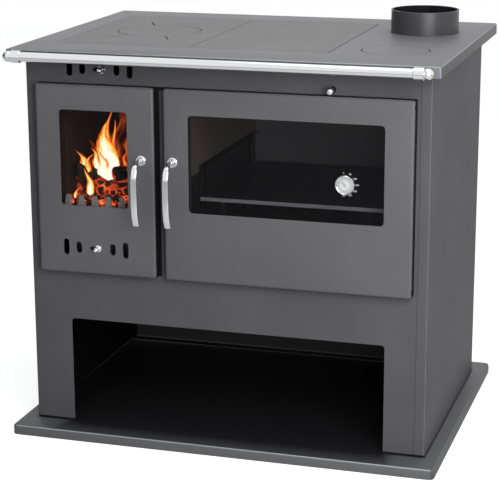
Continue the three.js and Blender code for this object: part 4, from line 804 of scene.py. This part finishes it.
def sooty_tube(length, top):
    bm = bmesh.new()
    radius = flue_bore - 0.0003
    bmesh.ops.create_cone(bm, cap_ends=False, segments=72, radius1=radius, radius2=radius, depth=length)
    bmesh.ops.translate(bm, verts=bm.verts, vec=(*flue_middle.xy, top - length / 2))
    mark_sharp(bm, 40)
    crust = keep_piece("flue_soot", keep_mesh(bm, "flue_soot", flue_crust), "stove", "dark_steel")
    thicken(crust, crust_wall)
    return crust


print("soot crust:", sooty_tube(0.05, box_of("flue_collar")[1].z - 0.0012).name)

# %% [markdown]
# ## Firewood
# A split log is a rough cylinder. Each one starts as a cone with equal ends, is cut into rings, and its
# points are then moved by a slow noise, so that no two logs are alike. Burning wood is black charcoal
# with a net of glowing cracks. Lamps between the logs would light the bricks but not the wood, so the
# wood itself glows: the edges of a Voronoi pattern, where a second, slower noise lets them.

# %% Charred wood and embers
def glowing_char(name, cell, char, glow_from, glow_to, strength):
    material, tree, shader = new_material(name, Roughness=0.9, Specular_IOR_Level=0.15,
                                          Emission_Strength=strength)
    place = object_place(tree)
    cracks = texture(tree, "Voronoi", place, out="Distance", feature="DISTANCE_TO_EDGE", Scale=cell)
    near = span(tree, cracks, 1, 0, end=0.22)
    patches = texture(tree, "Noise", place, Scale=26, Detail=3, Roughness=0.6)
    lit = span(tree, patches, 0, 1, start=glow_from, end=glow_to)
    heat = colour_ramp(tree, maths(tree, "MULTIPLY", near, lit), (0, (0, 0, 0)), (0.4, (0.75, 0.07, 0.012)),
                       (1, (1, 0.55, 0.16)))
    feed(tree, heat, shader.inputs["Emission Color"])
    feed(tree, colour_ramp(tree, patches, (0, char), (1, (0.05, 0.042, 0.038))), shader.inputs["Base Color"])
    feed(tree, bumps(tree, near, 0.9, 0.002), shader.inputs["Normal"])
    return material


log_char = glowing_char("log_char", 55, (0.004, 0.0035, 0.003), 0.55, 0.8, 1.2)
log_glow = glowing_char("log_glow", 60, (0.005, 0.0035, 0.003), 0.4, 0.72, 1.3)
ember_glow = glowing_char("ember_glow", 80, (0.006, 0.004, 0.003), 0.42, 0.72, 1.5)
print("fire materials:", log_char.name, log_glow.name, ember_glow.name)


# %% Helper for one log
def split_log(stack, start, end, radius, rough):
    start, end = Vector(start) / 1000, Vector(end) / 1000
    length = (end - start).length
    bm = bmesh.new()
    bmesh.ops.create_cone(bm, cap_ends=True, segments=20, radius1=radius / 1000, radius2=radius / 1000,
                          depth=length)
    long_edges = [edge for edge in bm.edges if abs(edge.verts[0].co.z - edge.verts[1].co.z) > length * 0.5]
    bmesh.ops.subdivide_edges(bm, edges=long_edges, cuts=16)
    turn_to = (end - start).to_track_quat("Z", "Y").to_matrix()
    middle = (start + end) / 2
    for vert in bm.verts:
        spot = vert.co.copy()
        wave = noise.noise(Vector((spot.x * 40, spot.y * 40, spot.z * 12)) + middle * 31)
        spot.x *= 1 + wave * rough
        spot.y *= 1 + wave * rough
        vert.co = turn_to @ spot + middle
    bmesh.ops.recalc_face_normals(bm, faces=bm.faces)
    mark_sharp(bm, 50)
    one_log = keep_mesh(bm, "one_log")
    stack.from_mesh(one_log)
    bpy.data.meshes.remove(one_log)


# %% Logs on the grate, each by its two ends and its radius in millimetres
log_places = [
    ((-358, -196, 529), (-166, -204, 527), 21),
    ((-356, -128, 532), (-170, -112, 530), 24),
    ((-352, -40, 530), (-176, -52, 530), 22),
    ((-356, -226, 570), (-232, -96, 576), 17),
    ((-262, -226, 570), (-184, -92, 574), 16),
]
glow_line = 0.549  # lower faces glow more
log_stack = bmesh.new()
for start, end, radius in log_places:
    split_log(log_stack, start, end, radius, 0.22)
log_mesh = keep_mesh(log_stack, "burning_logs", log_char, log_glow)
for face in log_mesh.polygons:
    face.material_index = 1 if face.center.z < glow_line else 0
keep_piece("burning_logs", log_mesh, "stove", "firebrick")
print("logs:", len(log_places), "faces:", len(log_mesh.polygons))

# %% [markdown]
# ## Embers
# Between the logs and the guard lies a bed of broken charcoal. A particle system could scatter it, but
# a loop is plainer: each ember is a small icosphere, pulled out of round and turned at random, with a
# fixed seed so that the bed is the same on each run.

# %% Ember bed
random.seed(11)
front_embers, all_embers = 71, 110
grate_top = 0.5055
heap_front = -0.224  # in front of this line the embers lie on each other
ember_heap = bmesh.new()
for count in range(all_embers):
    size = random.uniform(0.005, 0.0105)
    spot = Vector((random.uniform(-0.358, -0.16), random.uniform(-0.276, -0.215), grate_top + size * 0.8))
    if count >= front_embers:
        spot = Vector((random.uniform(-0.356, -0.162), random.uniform(-0.21, 0.06), grate_top + size * 0.8))
    if spot.y < heap_front:
        spot.z += random.uniform(0, 0.012)
    ember = bmesh.ops.create_icosphere(ember_heap, subdivisions=1, radius=size)
    angle = random.uniform(0, 6.28)
    swing = Matrix.Rotation(angle, 3, Vector((random.random(), random.random(), 1)).normalized())
    stretch = Matrix.Diagonal((random.uniform(0.8, 1.4), random.uniform(0.7, 1.1), random.uniform(0.6, 0.9)))
    for vert in ember["verts"]:
        vert.co = swing @ (stretch @ vert.co) + spot
ember_bed = keep_piece("ember_bed", keep_mesh(ember_heap, "ember_bed", ember_glow), "stove", "firebrick")
print("embers:", all_embers, "with", len(ember_bed.data.polygons), "faces")

# %% [markdown]
# ## Flames
# A flame is a thin bright sheet of gas. A volume would be truer, but it is slow and can't be exported.
# So each tongue is a grid drawn in to a point, bent and swayed, with its own UV map: across it and up
# it. The material works out a heat from those two and a noise. The heat picks the colour, from dark red
# through orange to near white, and the thin edges fade out.

# %% Flame material
flame_colours = [(0.08, (0.3, 0.012, 0.002)), (0.25, (0.75, 0.06, 0.008)), (0.45, (1, 0.25, 0.02)),
                 (0.68, (1, 0.68, 0.14)), (0.95, (1, 0.97, 0.8))]
edge_cooling = 0.95


def flame_gas(name, hottest, cooling, thinnest):
    material, tree, shader = new_material(name, Base_Color=(0, 0, 0, 1), Roughness=1, Specular_IOR_Level=0,
                                          Emission_Strength=1.5)
    place = add_node(tree, "ShaderNodeUVMap", uv_map="flame_uv").outputs["UV"]
    spread = add_node(tree, "ShaderNodeMapping", Scale=(3.2, 1.7, 1))
    feed(tree, place, spread.inputs["Vector"])
    flicker = texture(tree, "Noise", spread.outputs["Vector"], Scale=1.6, Detail=3, Roughness=0.55)
    x, y, z = axes(tree, place)
    centred = span(tree, maths(tree, "FRACT", x), -1, 1)
    side = maths(tree, "ABSOLUTE", maths(tree, "ADD", centred, span(tree, flicker, -0.7, 0.7)))
    cooler = maths(tree, "MULTIPLY_ADD", y, -cooling, hottest)
    heat = maths(tree, "MULTIPLY_ADD", side, -edge_cooling, cooler)
    feed(tree, colour_ramp(tree, heat, *flame_colours), shader.inputs["Emission Color"])
    feed(tree, span(tree, heat, 0, 1, start=0.05, end=thinnest, smooth=True), shader.inputs["Alpha"])
    return material


flame = flame_gas("flame", 1.35, 0.85, 0.5)
haze = flame_gas("flame_haze", 0.68, 0.42, 1.3)
print("flame materials:", flame.name, haze.name)


# %% Helper for one tongue of flame
def flame_tongue(bm, uv_layer, foot, height, width, lean, seed, cool=0.0, middle=1.0):
    before = set(bm.verts)
    bmesh.ops.create_grid(bm, x_segments=8, y_segments=22, size=1)
    verts = [vert for vert in bm.verts if vert not in before]
    share = {vert: ((vert.co.x + 1) / 2, (vert.co.y + 1) / 2) for vert in verts}
    for vert, (across, rise) in share.items():
        narrow = 1.5 * rise ** 0.32 * (1 - rise) ** 0.72 if rise < 1 else 0
        bend = math.sin(rise * 5.2 + seed) * width * 0.22 * rise
        x = foot[0] + (across - 0.5) * width * narrow + lean * rise * rise + bend
        y = foot[1] + math.cos(rise * 4 + seed) * 5 * rise + (across - 0.5) ** 2 * 14
        z = foot[2] + rise * height
        vert.co = Vector((x, y, z)) / 1000
        sideways = 0.5 + (min(max(across, 0.001), 0.999) - 0.5) * middle
        for loop in vert.link_loops:
            loop[uv_layer].uv = (seed + sideways, cool + rise * (1.05 - cool))


# %% Tongues of flame: foot, height, width and lean in millimetres, seed, coolness, share of the width
tongues = [
    ((-290, -205, 550), 134, 60, 4, 1, -0.95),
    ((-302, -212, 560), 66, 34, -2, 12, -0.5),
    ((-288, -200, 590), 118, 44, 2, 2, 0.6),
    ((-278, -198, 562), 122, 26, -2, 3, 0.5),
    ((-272, -196, 556), 92, 30, 0, 13, 0.8),
    ((-313, -210, 576), 46, 26, -14, 4, -0.1),
    ((-341, -222, 566), 52, 36, -8, 5, 0.0),
    ((-330, -222, 570), 44, 34, 18, 14, 0.6),
    ((-321, -236, 522), 62, 26, -4, 6, -0.1),
    ((-252, -186, 550), 62, 52, 4, 7, 0.7),
    ((-238, -190, 552), 50, 40, 3, 8, 0.6),
    ((-350, -243, 514), 26, 20, 2, 9, 0.3),
]
hazes = [
    ((-292, -150, 545), 175, 110, -4, 10, 0, 0.8),
    ((-345, -165, 545), 90, 110, 4, 11, 0, 0.8),
    ((-250, -150, 545), 150, 110, 0, 15, 0, 0.8),
]
gas_thickness = 0.0004


def gas_piece(name, gas, sheets):
    bm = bmesh.new()
    uv_layer = bm.loops.layers.uv.new("flame_uv")
    for sheet in sheets:
        flame_tongue(bm, uv_layer, *sheet)
    bmesh.ops.recalc_face_normals(bm, faces=bm.faces)
    piece = keep_piece(name, keep_mesh(bm, name, gas), "stove", "door_glass")
    thicken(piece, gas_thickness)
    return piece


fire = [gas_piece("flames", flame, tongues), gas_piece("flame_haze", haze, hazes)]
print("fire:", [piece.name for piece in fire])

# %% [markdown]
# ## Oven thermometer
# The thermometer is a chrome cup on the glass, with a light dial and a black needle. Print could come
# from a picture, but a pattern stays sharp at any size. So the dial is a thin disc with a ring of
# strokes, worked out from the angle and the distance to its middle.

# %% Dial face
dial_middle = middle_of("thermometer_body")
dial_middle.y = box_of("thermometer_needle")[1].y + 0.0001
dial_radius, dial_thickness = 0.0155, 0.00015
stroke_count, stroke_share = 24, 0.32
stroke_ring, stroke_half_length = 0.0128, 0.0022


def dial_print():
    material, tree, shader = new_material("dial_print", Roughness=0.35)
    x, y, z = axes(tree, object_place(tree))
    aside = maths(tree, "SUBTRACT", x, dial_middle.x)
    rise = maths(tree, "SUBTRACT", z, dial_middle.z)
    turns = maths(tree, "MULTIPLY", maths(tree, "ARCTAN2", rise, aside), stroke_count / (2 * math.pi))
    stroke = maths(tree, "LESS_THAN", maths(tree, "FRACT", turns), stroke_share)
    flat = feed_all(tree, add_node(tree, "ShaderNodeCombineXYZ"), (aside, rise)).outputs[0]
    reach = vector_maths(tree, "LENGTH", flat, out="Value")
    ring = maths(tree, "COMPARE", reach, stroke_ring, stroke_half_length)
    face = mix_colour(tree, maths(tree, "MULTIPLY", stroke, ring), (0.62, 0.62, 0.63), (0.03, 0.03, 0.03))
    feed(tree, face, shader.inputs["Base Color"])
    return material


dial_disc = bmesh.new()
upright = Matrix.Rotation(math.radians(90), 3, "X")
bmesh.ops.create_cone(dial_disc, cap_ends=True, segments=40, radius1=dial_radius, radius2=dial_radius,
                      depth=dial_thickness)
bmesh.ops.rotate(dial_disc, verts=dial_disc.verts, cent=(0, 0, 0), matrix=upright)
bmesh.ops.translate(dial_disc, verts=dial_disc.verts, vec=dial_middle)
dial_mesh = keep_mesh(dial_disc, "thermometer_dial", dial_print())
keep_piece("thermometer_dial", dial_mesh, "oven_door", "bare_steel")
print("dial:", len(dial_mesh.polygons), "faces")

# %% [markdown]
# ## Numbers on the glass
# The temperatures are printed in white on the glass, round the right half of the dial. Each number is
# text turned into a thin mesh, because a mesh can be exported and text can't. Points that the text has
# twice are joined, so that no edge stays open.

# %% White print on the glass
def white_print():
    material, tree, shader = new_material("white_print", Roughness=0.5)
    worn = texture(tree, "Noise", object_place(tree), Scale=700, Detail=2)
    tone = colour_ramp(tree, worn, (0, (0.6, 0.6, 0.6)), (1, (0.85, 0.85, 0.84)))
    feed(tree, tone, shader.inputs["Base Color"])
    return material


print_depth = 0.00008  # from the glass to the middle of the print
number_size, number_ring = 0.0052, 0.0235
first_angle, angle_range = 100, 200  # degrees, from the right and anticlockwise
number_count, number_step = 7, 50


def number_at(text, angle):
    words = bpy.data.curves.new("number", "FONT")
    words.body = text
    words.size = number_size
    words.align_x = "CENTER"
    words.align_y = "CENTER"
    words.extrude = 0.00005
    holder = bpy.data.objects.new("number", words)
    flat_number = bpy.data.meshes.new_from_object(holder)
    glass_front = box_of("oven_door_glass")[0].y
    place = Vector((dial_middle.x + math.cos(angle) * number_ring, glass_front - print_depth,
                    dial_middle.z + math.sin(angle) * number_ring))
    flat_number.transform(Matrix.Translation(place) @ upright.to_4x4())
    bpy.data.objects.remove(holder)
    bpy.data.curves.remove(words)
    return flat_number


numbers = bmesh.new()
for count in range(number_count):
    turn_back = count * angle_range / (number_count - 1)
    flat_number = number_at(str(count * number_step), math.radians(first_angle - turn_back))
    numbers.from_mesh(flat_number)
    bpy.data.meshes.remove(flat_number)
bmesh.ops.remove_doubles(numbers, verts=numbers.verts, dist=1e-6)
open_edges = sum(not edge.is_manifold for edge in numbers.edges)
number_mesh = keep_mesh(numbers, "dial_numbers", white_print())
keep_piece("dial_numbers", number_mesh, "oven_door", "needle")
print("numbers:", len(number_mesh.polygons), "faces,", open_edges, "open edges")
